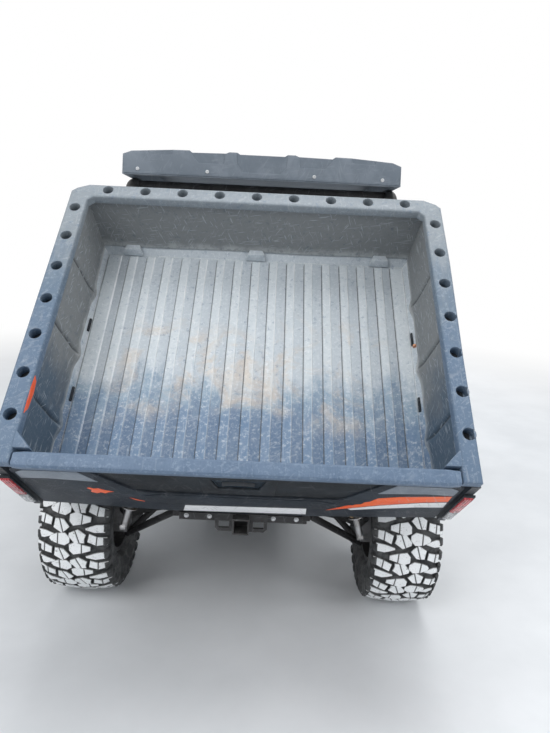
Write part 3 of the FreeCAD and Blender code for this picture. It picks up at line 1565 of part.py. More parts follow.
def make_strut():
    """The gas strut under the bed: its barrel on the chassis and its rod, whose eye sits round the bed's pin."""
    tilt = math.radians(S.bed_tilt.value)
    foot = values((S.strut_x, S.strut_foot_y, S.strut_foot_z))
    eye_y = S.strut_eye_y.value
    pin = values((S.strut_x, S.hinge_y, S.hinge_z)) + Vector(0, eye_y * math.cos(tilt), eye_y * math.sin(tilt))
    along = (pin - foot).normalize()
    across = Vector(1, 0, 0)
    width = S.strut_eye_width.value
    foot_width = 2 * (S.strut_radius.value + 4)
    foot_eye = Part.makeCylinder(S.strut_radius.value, foot_width, foot - across * (foot_width / 2), across)
    barrel = Part.makeCylinder(S.strut_radius.value, S.strut_length.value - 10, foot + along * 10, along)
    rod_bore = S.strut_rod_radius.value + S.running_gap.value
    bore = Part.makeCylinder(rod_bore, S.strut_length.value, foot + along * 34, along)
    pin_bore = Part.makeCylinder(
        S.strut_pin_radius.value + S.running_gap.value, foot_width + 2, foot - across * (foot_width / 2 + 1), across,
    )
    node("lift_barrel", [shaped("barrel", foot_eye.fuse(barrel).cut([bore, pin_bore]))])

    eye = Part.makeCylinder(S.strut_eye_radius.value, width, pin - across * (width / 2), across)
    hole = Part.makeCylinder(S.strut_eye_bore.value, width + 2, pin - across * (width / 2 + 1), across)
    stem_start = pin - along * (S.strut_eye_bore.value + 4)
    stem = Part.makeCylinder(
        S.strut_rod_radius.value, S.strut_rod_length.value - S.strut_eye_bore.value, stem_start, along * -1,
    )
    node("lift_rod", [shaped("rod_and_eye", eye.fuse(stem).cut(hole))])

    room = S.strut_radius + S.moving_gap
    solids = []
    for side in (-1, 1):
        start = S.strut_x + side * (room + 3) - 3
        solids.append(box(
            f"foot_ear{'a' if side < 0 else 'b'}",
            (start, S.strut_foot_y - 16, S.rear_bottom + 11),
            (start + 6, S.strut_foot_y + 16, S.strut_foot_z + 16),
        ))
    solids.append(box(
        "foot_plate",
        (S.gearcase_half + S.seat_gap, S.strut_foot_y - 16, S.rear_bottom + 5),
        (S.rail_inner - S.seat_gap, S.strut_foot_y + 16, S.rear_bottom + 13),
    ))
    solids.append(cylinder(
        "foot_pin", (S.strut_x - room - 6, S.strut_foot_y, S.strut_foot_z), "x",
        S.strut_pin_radius, (room + 6) * 2,
    ))
    node("strut_bracket", [fuse("strut_foot", solids)])


def make_hitch():
    """The tow hitch's receiver tube on its plate."""
    size = S.hitch_size
    half = size / 2
    low = S.hitch_top - size
    front = S.rail_rear - S.seat_gap
    tube = box("receiver", (-half, S.hitch_rear, low), (half, front, S.hitch_top))
    socket = box(
        "receiver_socket",
        (-half + S.hitch_wall, S.hitch_rear - 1, low + S.hitch_wall),
        (half - S.hitch_wall, front - 8, S.hitch_top - S.hitch_wall),
    )
    plate = prism("hitch_plate", "rear", [
        (-S.hitch_plate_half, low + 8),
        (-S.hitch_plate_half + 14, low - 6),
        (S.hitch_plate_half - 14, low - 6),
        (S.hitch_plate_half, low + 8),
        (S.hitch_plate_half, S.hitch_top + 4),
        (-S.hitch_plate_half, S.hitch_top + 4),
    ], front - 34, 12)
    loops = pair(box(
        "loop_window",
        (half + 14, front - 36, low + 8),
        (S.hitch_plate_half - 14, front - 20, low + 36),
    ))
    carrier = box(
        "hitch_carrier",
        (-S.rail_inner + S.seat_gap, front - 22, S.hitch_top - 32),
        (S.rail_inner - S.seat_gap, front, S.hitch_top - 4),
    )
    whole = fuse("hitch_whole", [tube, plate, carrier])
    hanger = pair(box(
        "hitch_hanger",
        (S.rail_inner - S.seat_gap - 1, front - 22, S.hitch_top - 32),
        (S.rail_inner + 20, front, S.hitch_top - 4),
    ))
    node("hitch_receiver", [cut("hitch", fuse("hitch_all", [whole] + hanger), [socket] + loops)])


def main():
    """Build every sub-part, check it and write it out."""
    make_wheels()
    make_frame()
    make_drive()
    make_suspension()
    make_steering()
    make_cage()
    make_roof()
    make_cab()
    make_nose()
    make_bed()
    make_tailgate()
    make_strut()
    make_hitch()
    DOC.recompute()
    for thing in DOC.Objects:
        faults = [word for word in thing.State if word in ("Invalid", "Error")]
        if faults:
            raise RuntimeError(f"{thing.Label} is {faults}")
    os.makedirs("parts", exist_ok=True)
    for whole in NODES:
        shape = whole.Shape
        if shape.isNull() or not shape.isValid() or not shape.Solids:
            raise RuntimeError(f"{whole.Label} has no valid solid")
        shape.exportStep(os.path.join("parts", f"{whole.Label}.step"))
    print(f"{len(NODES)} sub-parts written")


main()
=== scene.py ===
"""Dresses the side by side utility vehicle, seen from behind with its cargo bed raised."""

import json
import logging
import math
from dataclasses import dataclass
from enum import Enum
from typing import Callable, Optional, Sequence

import bmesh
import bpy
from mathutils import Matrix, Vector, noise


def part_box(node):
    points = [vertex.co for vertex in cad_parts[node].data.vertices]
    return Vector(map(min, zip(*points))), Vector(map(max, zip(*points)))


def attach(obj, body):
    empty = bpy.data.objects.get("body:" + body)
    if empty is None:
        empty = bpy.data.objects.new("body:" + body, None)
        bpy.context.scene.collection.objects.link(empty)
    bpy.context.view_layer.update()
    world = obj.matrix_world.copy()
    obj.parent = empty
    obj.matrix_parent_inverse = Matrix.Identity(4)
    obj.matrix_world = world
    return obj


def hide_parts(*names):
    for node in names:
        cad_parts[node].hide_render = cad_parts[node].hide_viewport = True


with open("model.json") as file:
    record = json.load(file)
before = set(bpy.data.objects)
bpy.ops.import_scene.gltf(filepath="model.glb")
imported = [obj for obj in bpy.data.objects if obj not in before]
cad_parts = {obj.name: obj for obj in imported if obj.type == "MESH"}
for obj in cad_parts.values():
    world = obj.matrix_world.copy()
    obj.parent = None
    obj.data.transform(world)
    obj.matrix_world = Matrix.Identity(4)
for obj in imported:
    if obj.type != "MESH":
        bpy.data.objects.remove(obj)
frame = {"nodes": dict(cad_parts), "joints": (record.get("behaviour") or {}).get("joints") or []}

Flat = tuple[float, float]
Spot = tuple[float, float, float]
Colour = tuple[float, float, float]
Form = Callable[[float, float], Spot]
Socket = bpy.types.NodeSocket
Group = bpy.types.NodeTree

LOG = logging.getLogger("utility_vehicle")
PHOTO_HEIGHT = 733
UPRIGHT = Matrix.Rotation(math.radians(90), 4, "X")
MIRROR = Matrix.Scale(-1.0, 4, (1.0, 0.0, 0.0))


class Plane(Enum):
    """The two coordinates that an outline gives; it is drawn out along the third."""

    SIDE = (1, 2)
    REAR = (0, 2)
    TOP = (0, 1)


class Side(Enum):
    """The vehicle's two sides."""

    LEFT = -1.0
    RIGHT = 1.0

    @property
    def word(self) -> str:
        """Returns the side as names have it."""
        return self.name.lower()


# Node trees

class Tree:
    """Adds nodes to one node tree and joins their sockets."""

    def __init__(self, tree: Group) -> None:
        """Takes the tree that the nodes go in."""
        self.tree = tree

    def fill(self, node: bpy.types.Node, feeds: dict) -> None:
        """Feeds a node's inputs, each by its name or number."""
        for socket, value in feeds.items():
            self.feed(node.inputs[socket], value)

    def add(self, kind: str, feeds: Optional[dict] = None, **settings: object) -> bpy.types.Node:
        """Adds a node.

        Args:
            kind: The node's Blender type.
            feeds: What goes in its inputs, by their names or numbers.
            settings: Its properties.

        Returns:
            The node.
        """
        node = self.tree.nodes.new(kind)
        for name, value in settings.items():
            setattr(node, name, value)
        self.fill(node, feeds or {})
        return node

    def group(self, tree: Group, **feeds: object) -> Socket:
        """Adds a shared group and returns its result."""
        return self.add("ShaderNodeGroup", feeds, node_tree=tree).outputs[0]

    def feed(self, socket: Socket, value: object) -> None:
        """Sets a socket to a plain value, or links it to another socket."""
        if isinstance(value, Socket):
            self.tree.links.new(value, socket)
            return
        if socket.type == "RGBA" and len(value) == 3:
            value = (*value, 1.0)
        socket.default_value = value

    def maths(self, operation: str, *values: object, clamp: bool = False) -> Socket:
        """Works out one number.

        Args:
            operation: The Math node's operation.
            values: Its inputs in order.
            clamp: Whether the result stays within 0 and 1.

        Returns:
            The result's socket.
        """
        node = self.add("ShaderNodeMath", dict(enumerate(values)), operation=operation, use_clamp=clamp)
        return node.outputs[0]

    def times(self, one: object, two: object, clamp: bool = False) -> Socket:
        """Multiplies two numbers."""
        return self.maths("MULTIPLY", one, two, clamp=clamp)

    def dot(self, one: object, two: object) -> Socket:
        """Works out how far two directions agree."""
        return self.add("ShaderNodeVectorMath", {0: one, 1: two}, operation="DOT_PRODUCT").outputs["Value"]

    def blend(self, factor: object, first: object, second: object) -> Socket:
        """Mixes two colours, the factor being the second one's share."""
        return self.add("ShaderNodeMix", {0: factor, 6: first, 7: second}, data_type="RGBA").outputs[2]

    def spread(self, value: object, low: object, high: object, start: float = 0.0,
               end: float = 1.0) -> Socket:
        """Maps a range to another, smoothly at both ends.

        Args:
            value: The number to map.
            low: Where the range starts.
            high: Where it ends.
            start: What low becomes.
            end: What high becomes.

        Returns:
            The mapped number's socket.
        """
        feeds = dict(enumerate((value, low, high, start, end)))
        return self.add("ShaderNodeMapRange", feeds, interpolation_type="SMOOTHSTEP").outputs[0]

    def speckle(self, vector: object, scale: object, detail: float = 4.0, roughness: float = 0.6,
                distortion: float = 0.0) -> Socket:
        """Adds a noise pattern.

        Args:
            vector: The place in the pattern.
            scale: How many spots there are to a metre.
            detail: How many finer layers it has.
            roughness: How strong they are.
            distortion: How far it is swirled.

        Returns:
            The noise's socket, about 0.5 on average.
        """
        feeds = {"Vector": vector, "Scale": scale, "Detail": detail, "Roughness": roughness,
                 "Distortion": distortion}
        return self.add("ShaderNodeTexNoise", feeds).outputs["Fac"]

    def placed(self, vector: object, place: Spot = (0, 0, 0), turn: Spot = (0, 0, 0),
               size: Spot = (1, 1, 1), kind: str = "POINT") -> Socket:
        """Moves, turns and scales a place in a pattern.

        Args:
            vector: The place before.
            place: The Mapping node's location.
            turn: Its rotation in radians.
            size: Its scale.
            kind: Its vector type.

        Returns:
            The new place's socket.
        """
        feeds = {"Vector": vector, "Location": place, "Rotation": turn, "Scale": size}
        return self.add("ShaderNodeMapping", feeds, vector_type=kind).outputs[0]


def shared_group(name: str, output: str, **inputs: object) -> tuple[Tree, object, Socket]:
    """Starts a node group with named sockets.

    Args:
        name: The group's name.
        output: Its result's name: Geometry, or Mask or Height for a number.
        inputs: Each input's value, or a word for its socket type where it has none.

    Returns:
        The tree, what its inputs give by name, and the socket of its result.
    """
    solid = output == "Geometry"
    group = bpy.data.node_groups.new(name, "GeometryNodeTree" if solid else "ShaderNodeTree")
    kinds = {int: "Int", float: "Float", tuple: "Vector"}
    for label, value in inputs.items():
        bare = isinstance(value, str)
        socket = value if bare else kinds[type(value)]
        made = group.interface.new_socket(label, in_out="INPUT", socket_type=f"NodeSocket{socket}")
        if not bare:
            made.default_value = value
    result = "NodeSocketGeometry" if solid else "NodeSocketFloat"
    group.interface.new_socket(output, in_out="OUTPUT", socket_type=result)
    tree = Tree(group)
    return tree, tree.add("NodeGroupInput").outputs, tree.add("NodeGroupOutput").inputs[0]


def new_material(name: str, slot: str) -> tuple[bpy.types.Material, Tree, bpy.types.Node]:
    """Starts a material.

    Args:
        name: Its name.
        slot: The slot of the pieces that wear it.

    Returns:
        The material, its tree and its shader node.
    """
    material = bpy.data.materials.new(name)
    material["slot"] = slot
    material.use_nodes = True
    return material, Tree(material.node_tree), material.node_tree.nodes["Principled BSDF"]


class Effects:
    """The shader node groups that the finishes share."""

    def __init__(self) -> None:
        """Builds each group once."""
        self.wear = self.build_wear()
        self.dust = self.build_dust()
        self.scratches = self.build_scratches()
        self.blotches = self.build_blotches()
        self.grain = self.build_grain()

    @staticmethod
    def build_wear() -> Group:
        """Builds the mask of rubbed edges."""
        tree, given, mask = shared_group("edge_wear", "Mask", Vector="Vector", Width=0.004, Amount=0.5,
                                         Breakup=30.0)
        bevel = tree.add("ShaderNodeBevel", {"Radius": given["Width"]}, samples=4)
        flat = tree.dot(bevel.outputs[0], tree.add("ShaderNodeNewGeometry").outputs["Normal"])
        edge = tree.spread(tree.maths("SUBTRACT", 1.0, flat), 0.004, 0.16)
        patches = tree.spread(tree.speckle(given["Vector"], given["Breakup"]), 0.36, 0.62)
        worn = tree.times(edge, tree.maths("MULTIPLY_ADD", patches, 0.75, 0.25))
        tree.feed(mask, tree.times(worn, given["Amount"], clamp=True))
        return tree.tree

    @staticmethod
    def build_dust() -> Group:
        """Builds the mask of dust that lies on surfaces facing up."""
        tree, given, mask = shared_group("settled_dust", "Mask", Vector="Vector", Facing="Vector",
                                         Up=(0.0, 0.0, 1.0), Amount=0.4, Scale=14.0)
        lying = tree.spread(tree.dot(given["Facing"], given["Up"]), -0.35, 0.95, 0.12, 1.0)
        coarse = tree.spread(tree.speckle(given["Vector"], given["Scale"], 6.0), 0.3, 0.72)
        fine = tree.speckle(given["Vector"], tree.times(given["Scale"], 19.0), 3.0, 0.7)
        dusty = tree.times(lying, tree.maths("MULTIPLY_ADD", coarse, 0.7, 0.3))
        dusty = tree.times(dusty, tree.maths("ADD", fine, 0.5))
        tree.feed(mask, tree.times(dusty, given["Amount"], clamp=True))
        return tree.tree

    @staticmethod
    def build_scratches() -> Group:
        """Builds the mask of thin straight scratches, run in five directions."""
        tree, given, mask = shared_group("thin_scratches", "Mask", Vector="Vector", Scale=150.0,
                                         Amount=0.4, Limit=0.68)
        turns = ((0.5, 0.3, 0.4), (-0.3, 0.9, 1.3), (1.2, -0.4, 2.3), (-0.9, 0.3, 2.9), (0.2, 1.3, 0.9))
        total: object = 0.0
        for number, turn in enumerate(turns):
            spot = tree.placed(given["Vector"], (number * 3.1, 0.7, 0.0), turn, (1.0, 16.0, 10.0), "TEXTURE")
            over = tree.maths("SUBTRACT", tree.speckle(spot, given["Scale"], 1.0, 0.4), given["Limit"])
            total = tree.maths("MAXIMUM", total, tree.times(over, 14.0, clamp=True))
        tree.feed(mask, tree.times(total, given["Amount"], clamp=True))
        return tree.tree

    @staticmethod
    def build_blotches() -> Group:
        """Builds a mask of soft patches with broken borders."""
        tree, given, mask = shared_group("soft_blotches", "Mask", Vector="Vector", Scale=5.0, Low=0.42,
                                         High=0.6)
        field = tree.speckle(given["Vector"], given["Scale"], 8.0, 0.66, 0.5)
        tree.feed(mask, tree.spread(field, given["Low"], given["High"]))
        return tree.tree

    @staticmethod
    def build_grain() -> Group:
        """Builds the height of a moulded or cast surface's grain."""
        tree, given, height = shared_group("surface_grain", "Height", Vector="Vector", Scale=700.0,
                                           Waviness=0.3)
        fine = tree.speckle(given["Vector"], given["Scale"], 2.0, 0.5)
        wave = tree.speckle(given["Vector"], tree.times(given["Scale"], 0.03), 3.0, 0.5)
        tree.feed(height, tree.maths("MULTIPLY_ADD", wave, given["Waviness"], fine))
        return tree.tree


# Finishes

@dataclass(frozen=True)
class Finish:
    """One surface finish: its colours, its wear and its dirt."""

    name: str
    base: Colour
    second: Colour
    roughness: float = 0.6
    shine: float = 0.3
    metallic: float = 0.0
    coat: float = 0.0
    blotch_scale: float = 6.0
    blotch_low: float = 0.42
    blotch_high: float = 0.62
    wear: Colour = (0.30, 0.31, 0.33)
    wear_width: float = 0.004
    wear_amount: float = 0.4
    dust: Colour = (0.42, 0.42, 0.41)
    dust_amount: float = 0.14
    dust_up: Spot = (0.0, 0.0, 1.0)
    dust_scale: float = 14.0
    scratch: Colour = (0.5, 0.51, 0.53)
    scratch_amount: float = 0.1
    scratch_scale: float = 150.0
    grain_scale: float = 700.0
    grain_depth: float = 0.0004
    rounding: float = 0.0018
    coat_roughness: float = 0.18
    dust_roughness: float = 0.9
    scratch_roughness: float = 0.15
    slot: str = "body_plastic"

    def build(self, effects: Effects) -> bpy.types.Material:
        """Builds the material.

        Args:
            effects: The shared node groups.

        Returns:
            The material.
        """
        material, tree, shader = new_material(self.name, self.slot)
        place = tree.add("ShaderNodeTexCoord").outputs
        spot = place["Object"]
        colour, rough = self.surface(tree, effects, spot, place["Normal"])
        rounded = tree.add("ShaderNodeBevel", {"Radius": self.rounding}, samples=4)
        grain = tree.group(effects.grain, Vector=spot, Scale=self.grain_scale)
        bump = tree.add("ShaderNodeBump", {"Distance": self.grain_depth, "Height": grain,
                                           "Normal": rounded.outputs[0]})
        tree.fill(shader, {"Base Color": colour, "Roughness": rough, "Metallic": self.metallic,
                           "Specular IOR Level": self.shine, "Coat Weight": self.coat,
                           "Coat Roughness": self.coat_roughness, "Normal": bump.outputs[0]})
        return material

    def ground(self, tree: Tree, effects: Effects, spot: Socket) -> Socket:
        """Returns the bare surface's colour, before wear and dirt."""
        patches = tree.group(effects.blotches, Vector=spot, Scale=self.blotch_scale, Low=self.blotch_low,
                             High=self.blotch_high)
        return tree.blend(patches, self.base, self.second)

    def surface(self, tree: Tree, effects: Effects, spot: Socket, facing: Socket) -> tuple[Socket, Socket]:
        """Lays scratches, worn edges and dust over the bare surface.

        Args:
            tree: The material's nodes.
            effects: The shared node groups.
            spot: The place on the piece.
            facing: The way the surface faces, on the piece.

        Returns:
            The colour's and the roughness's sockets.
        """
        lines = tree.group(effects.scratches, Vector=spot, Scale=self.scratch_scale,
                           Amount=self.scratch_amount)
        edge = tree.group(effects.wear, Vector=spot, Width=self.wear_width, Amount=self.wear_amount)
        dirt = tree.group(effects.dust, Vector=spot, Facing=facing, Up=self.dust_up, Amount=self.dust_amount,
                          Scale=self.dust_scale)
        colour = self.ground(tree, effects, spot)
        for mask, tone in ((lines, self.scratch), (edge, self.wear), (dirt, self.dust)):
            colour = tree.blend(mask, colour, tone)
        rough = tree.maths("MULTIPLY_ADD", dirt, self.dust_roughness - self.roughness, self.roughness)
        return colour, tree.maths("MULTIPLY_ADD", lines, self.scratch_roughness, rough, clamp=True)


@dataclass(frozen=True)
class BedFinish(Finish):
    """The cargo box's plastic: pale and rubbed in its middle, blue and dark near the gate, with painted shade
    in its creases and along the ribs' left sides.
    """

    hinge: Spot = (0.0, 0.0, 0.0)
    tilt: float = 0.0
    pale: Colour = (0.5, 0.54, 0.57)
    tan: Colour = (0.52, 0.44, 0.35)
    tan_amount: float = 0.5
    low_end: float = -0.12
    high_end: float = 0.36
    speck: Colour = (0.8, 0.82, 0.84)
    speck_amount: float = 0.3
    rub: Colour = (0.84, 0.86, 0.87)
    # crease is the painted shade colour, laid where the rub attribute is negative.
    crease: Colour = (0.03, 0.035, 0.04)

    def ground(self, tree: Tree, effects: Effects, spot: Socket) -> Socket:
        """Returns the bare plastic's colour, which changes along the bed, turns pale where the piece is
        rubbed and takes painted shade where its mark is negative.
        """
        local = tree.placed(spot, self.hinge, (self.tilt, 0.0, 0.0), kind="TEXTURE")
        parts = tree.add("ShaderNodeSeparateXYZ", {0: local})
        cloud = tree.speckle(local, 5.0, 7.0, 0.7, 0.4)
        streaks = tree.speckle(tree.placed(local, size=(1.0, 0.2, 1.0)), 34.0, 6.0, 0.72, 0.3)
        along = tree.maths("MULTIPLY_ADD", tree.maths("SUBTRACT", cloud, 0.5), 0.45, parts.outputs["Y"])
        share = tree.spread(along, self.low_end, self.high_end)
        share = tree.maths("MULTIPLY_ADD", tree.maths("SUBTRACT", streaks, 0.5), 0.9, share, clamp=True)
        colour = tree.blend(tree.spread(share, 0.0, 0.5), self.base, self.second)
        colour = tree.blend(tree.spread(share, 0.4, 1.0), colour, self.pale)
        near = tree.spread(along, 0.02, 0.2)
        far = tree.spread(along, 0.36, 0.62, 1.0, 0.0)
        stain = tree.spread(tree.speckle(local, 5.5, 6.0, 0.7, 0.8), 0.47, 0.66)
        across = tree.spread(tree.maths("ABSOLUTE", parts.outputs["X"]), 0.42, 0.62, 1.0, 0.0)
        patch = tree.times(tree.times(near, far), tree.times(stain, across))
        colour = tree.blend(tree.times(patch, self.tan_amount), colour, self.tan)
        specks = tree.spread(tree.speckle(local, 75.0, 6.0, 0.8), 0.5, 0.66)
        pits = tree.spread(tree.speckle(local, 48.0, 6.0, 0.8), 0.34, 0.45, 1.0, 0.0)
        colour = tree.blend(tree.times(specks, self.speck_amount), colour, self.speck)
        colour = tree.blend(tree.times(pits, 0.55), colour, self.base)
        mark = tree.add("ShaderNodeAttribute", attribute_name="rub").outputs["Fac"]
        broken = tree.maths("MULTIPLY_ADD", tree.spread(streaks, 0.36, 0.56), 0.7, 0.3)
        colour = tree.blend(tree.times(mark, broken, clamp=True), colour, self.rub)
        # Painted shade: where the rub attribute is negative, the colour darkens towards the crease colour.
        return tree.blend(tree.times(mark, -1.0, clamp=True), colour, self.crease)


@dataclass(frozen=True)
class TyreFinish(Finish):
    """Dark rubber whose lug tops are rubbed white."""

    top: Colour = (0.9, 0.92, 0.93)
    grime: Colour = (0.24, 0.24, 0.24)

    def ground(self, tree: Tree, effects: Effects, spot: Socket) -> Socket:
        """Returns the rubber's colour, pale where the piece's attribute marks a lug's top."""
        dark = super().ground(tree, effects, spot)
        mark = tree.add("ShaderNodeAttribute", attribute_name="lug_top")
        spots = tree.spread(tree.speckle(spot, 55.0, 7.0, 0.72, 0.5), 0.27, 0.43)
        specks = tree.spread(tree.speckle(spot, 260.0, 3.0, 0.6), 0.27, 0.4)
        pale = tree.blend(tree.times(spots, specks), self.grime, self.top)
        return tree.blend(mark.outputs["Fac"], dark, pale)


@dataclass(frozen=True)
class LensFinish:
    """A lamp's lens: a clear or coloured skin over a ribbed reflector."""

    name: str
    colour: Colour
    roughness: float
    transmission: float
    rib_scale: float = 0.32 / 0.009
    rib_height: float = 0.0015
    coat: float = 0.6
    coat_roughness: float = 0.08
    shade: float = 0.55
    slot: str = "lamp_red"

    def build(self, effects: Effects) -> bpy.types.Material:
        """Builds the material.

        Args:
            effects: The shared node groups.

        Returns:
            The material.
        """
        material, tree, shader = new_material(self.name, self.slot)
        spot = tree.add("ShaderNodeTexCoord").outputs["Object"]
        darker = tuple(part * self.shade for part in self.colour)
        colour = tree.blend(tree.group(effects.blotches, Vector=spot, Scale=40.0), darker, self.colour)
        rough = tree.spread(tree.speckle(spot, 90.0), 0.3, 0.7, self.roughness, self.roughness + 0.2)
        wave = tree.add("ShaderNodeTexWave", {"Vector": spot, "Scale": self.rib_scale},
                        wave_type="BANDS", bands_direction="X")
        bump = tree.add("ShaderNodeBump", {"Distance": self.rib_height, "Height": wave.outputs["Fac"]})
        tree.fill(shader, {"Base Color": colour, "Roughness": rough, "Transmission Weight": self.transmission,
                           "Coat Weight": self.coat, "Coat Roughness": self.coat_roughness,
                           "Normal": bump.outputs[0]})
        return material


class Palette:
    """Every finish of the vehicle, built when it is first asked for."""

    def __init__(self, effects: Effects, hinge: Vector, tilt: float) -> None:
        """Lists the finishes.

        Args:
            effects: The shared node groups.
            hinge: The bed's hinge, in the row frame.
            tilt: How far the bed is raised, in radians.
        """
        self.effects = effects
        up = (0.0, -math.sin(tilt), math.cos(tilt))
        bed = {"hinge": tuple(hinge), "tilt": tilt, "dust_up": up}
        floor = {"low_end": 0.0, "tan_amount": 0.6, "dust_amount": 0.1, "scratch_amount": 0.12,
                 "slot": "bed_plastic", **bed}
        self.finishes = {finish.name: finish for finish in (
            BedFinish("bed_floor", (0.105, 0.17, 0.27), (0.2, 0.28, 0.37), roughness=0.52,
                      pale=(0.46, 0.51, 0.55), tan=(0.52, 0.42, 0.33), speck_amount=0.4,
                      dust=(0.62, 0.64, 0.65), scratch=(0.85, 0.87, 0.88), wear=(0.86, 0.86, 0.82),
                      wear_amount=0.6, **floor),
            BedFinish("bed_rib", (0.125, 0.205, 0.32), (0.25, 0.34, 0.43), roughness=0.5,
                      pale=(0.55, 0.6, 0.63), tan=(0.6, 0.49, 0.38), speck_amount=0.45,
                      dust=(0.68, 0.7, 0.71), scratch=(0.9, 0.91, 0.92), wear=(0.84, 0.86, 0.87), **floor),
            BedFinish("bed_wall", (0.076, 0.114, 0.158), (0.13, 0.154, 0.18), roughness=0.55, low_end=0.0,
                      pale=(0.215, 0.225, 0.228), tan_amount=0.0, dust=(0.2, 0.22, 0.24), dust_amount=0.1,
                      speck=(0.3, 0.33, 0.36), speck_amount=0.2, rub=(0.66, 0.68, 0.68),
                      scratch=(0.46, 0.5, 0.53), scratch_amount=0.5, scratch_scale=210.0,
                      slot="bed_plastic", **bed),
            BedFinish("bed_rail", (0.1, 0.155, 0.235), (0.12, 0.17, 0.23), roughness=0.5,
                      pale=(0.235, 0.265, 0.29), tan_amount=0.0, dust=(0.38, 0.43, 0.48), dust_amount=0.12,
                      low_end=0.1, high_end=0.9, speck=(0.46, 0.52, 0.58), speck_amount=0.3,
                      wear=(0.4, 0.45, 0.5), wear_amount=0.4, wear_width=0.005, scratch_amount=0.2,
                      slot="rail_plastic", **bed),
            BedFinish("gate_cap", (0.075, 0.12, 0.19), (0.12, 0.175, 0.26), roughness=0.45, low_end=-0.6,
                      high_end=0.3, tan_amount=0.0, pale=(0.16, 0.22, 0.31), wear=(0.24, 0.31, 0.4),
                      wear_amount=0.3, scratch_amount=0.12, dust_amount=0.1, scratch=(0.4, 0.46, 0.52),
                      dust=(0.3, 0.38, 0.48), speck=(0.3, 0.38, 0.48), speck_amount=0.4,
                      slot="rail_plastic", **bed),
            Finish("gate_dark", (0.006, 0.009, 0.013), (0.012, 0.018, 0.025), roughness=0.42, shine=0.16,
                   dust_up=up, wear=(0.12, 0.14, 0.16), wear_amount=0.35, dust_amount=0.06,
                   scratch_amount=0.08),
            Finish("gate_panel", (0.009, 0.015, 0.024), (0.018, 0.027, 0.04), roughness=0.42, shine=0.18,
                   dust_up=up, wear=(0.16, 0.18, 0.22), wear_amount=0.35, dust_amount=0.06,
                   scratch_amount=0.1),
            Finish("gate_strake", (0.155, 0.185, 0.225), (0.22, 0.255, 0.3), roughness=0.4,
                   dust_up=up, wear=(0.3, 0.33, 0.36), wear_amount=0.4, dust_amount=0.1,
                   scratch_amount=0.15),
            Finish("orange_stripe", (0.93, 0.11, 0.02), (0.97, 0.15, 0.03), roughness=0.4,
                   dust_up=up, dust_amount=0.06, scratch_amount=0.3, wear_amount=0.1),
            Finish("white_stripe", (0.86, 0.87, 0.88), (0.8, 0.81, 0.82), roughness=0.4, dust_up=up,
                   dust_amount=0.04, scratch=(0.2, 0.2, 0.22), scratch_amount=0.25, wear_amount=0.1),
            Finish("roof_plastic", (0.14, 0.17, 0.205), (0.18, 0.212, 0.25), roughness=0.5,
                   wear=(0.3, 0.33, 0.37), dust=(0.34, 0.36, 0.39), dust_amount=0.25, scratch_amount=0.1,
                   slot="roof_plastic"),
            Finish("body_plastic", (0.026, 0.03, 0.036), (0.034, 0.039, 0.046), roughness=0.4,
                   wear=(0.14, 0.15, 0.17), blotch_scale=2.5, dust_amount=0.1, scratch_amount=0.06),
            Finish("floor_plastic", (0.022, 0.022, 0.024), (0.032, 0.032, 0.034), roughness=0.65,
                   dust_amount=0.2, grain_scale=420.0, grain_depth=0.0008, slot="floor_plastic"),
            Finish("frame_paint", (0.02, 0.02, 0.022), (0.04, 0.04, 0.042), roughness=0.4,
                   wear=(0.24, 0.23, 0.22), wear_amount=0.45, dust=(0.36, 0.35, 0.33), dust_amount=0.16,
                   grain_scale=1400.0, grain_depth=0.0002, slot="frame_paint"),
            Finish("bare_steel", (0.42, 0.42, 0.43), (0.3, 0.29, 0.28), roughness=0.32, metallic=1.0,
                   blotch_scale=30.0, dust_amount=0.3, scratch_amount=0.3, wear_amount=0.1,
                   slot="bare_steel"),
            Finish("cast_metal", (0.3, 0.3, 0.31), (0.2, 0.2, 0.2), roughness=0.55, metallic=0.8,
                   blotch_scale=20.0, dust_amount=0.25, grain_scale=500.0, grain_depth=0.0007,
                   slot="cast_metal"),
            Finish("spring_paint", (0.4, 0.26, 0.11), (0.3, 0.2, 0.1), roughness=0.4,
                   blotch_scale=60.0, dust_amount=0.35, wear=(0.5, 0.42, 0.3), slot="spring_paint"),
            Finish("rim_paint", (0.03, 0.03, 0.032), (0.06, 0.06, 0.062), roughness=0.35, metallic=0.3,
                   wear=(0.35, 0.35, 0.36), dust_amount=0.16, slot="rim"),
            TyreFinish("tyre_rubber", (0.036, 0.038, 0.04), (0.095, 0.098, 0.1), roughness=0.75,
                       dust=(0.3, 0.3, 0.3), dust_amount=0.2, wear_amount=0.0, scratch_amount=0.0,
                       blotch_scale=24.0, grain_scale=600.0, grain_depth=0.0006, slot="tyre"),
            Finish("boot_rubber", (0.02, 0.02, 0.021), (0.04, 0.04, 0.04), roughness=0.7,
                   dust_amount=0.2, wear_amount=0.1, scratch_amount=0.0, slot="grip_rubber"),
            Finish("seat_vinyl", (0.028, 0.028, 0.03), (0.045, 0.045, 0.048), roughness=0.5,
                   wear=(0.1, 0.1, 0.1), wear_amount=0.2, dust_amount=0.08, scratch_amount=0.03,
                   grain_scale=520.0, grain_depth=0.0007, slot="seat_vinyl"),
            Finish("hood_plastic", (0.03, 0.035, 0.042), (0.04, 0.046, 0.054), roughness=0.3, coat=0.3,
                   wear=(0.14, 0.15, 0.17), blotch_scale=2.5, dust_amount=0.08, scratch_amount=0.05),
            Finish("pale_screw", (0.72, 0.73, 0.74), (0.55, 0.56, 0.58), roughness=0.4, metallic=0.3,
                   blotch_scale=120.0, dust_amount=0.1, slot="bare_steel"),
            Finish("copper_bolt", (0.62, 0.3, 0.16), (0.4, 0.2, 0.12), roughness=0.35, metallic=1.0,
                   blotch_scale=80.0, dust_amount=0.1, slot="bare_steel"),
        )}
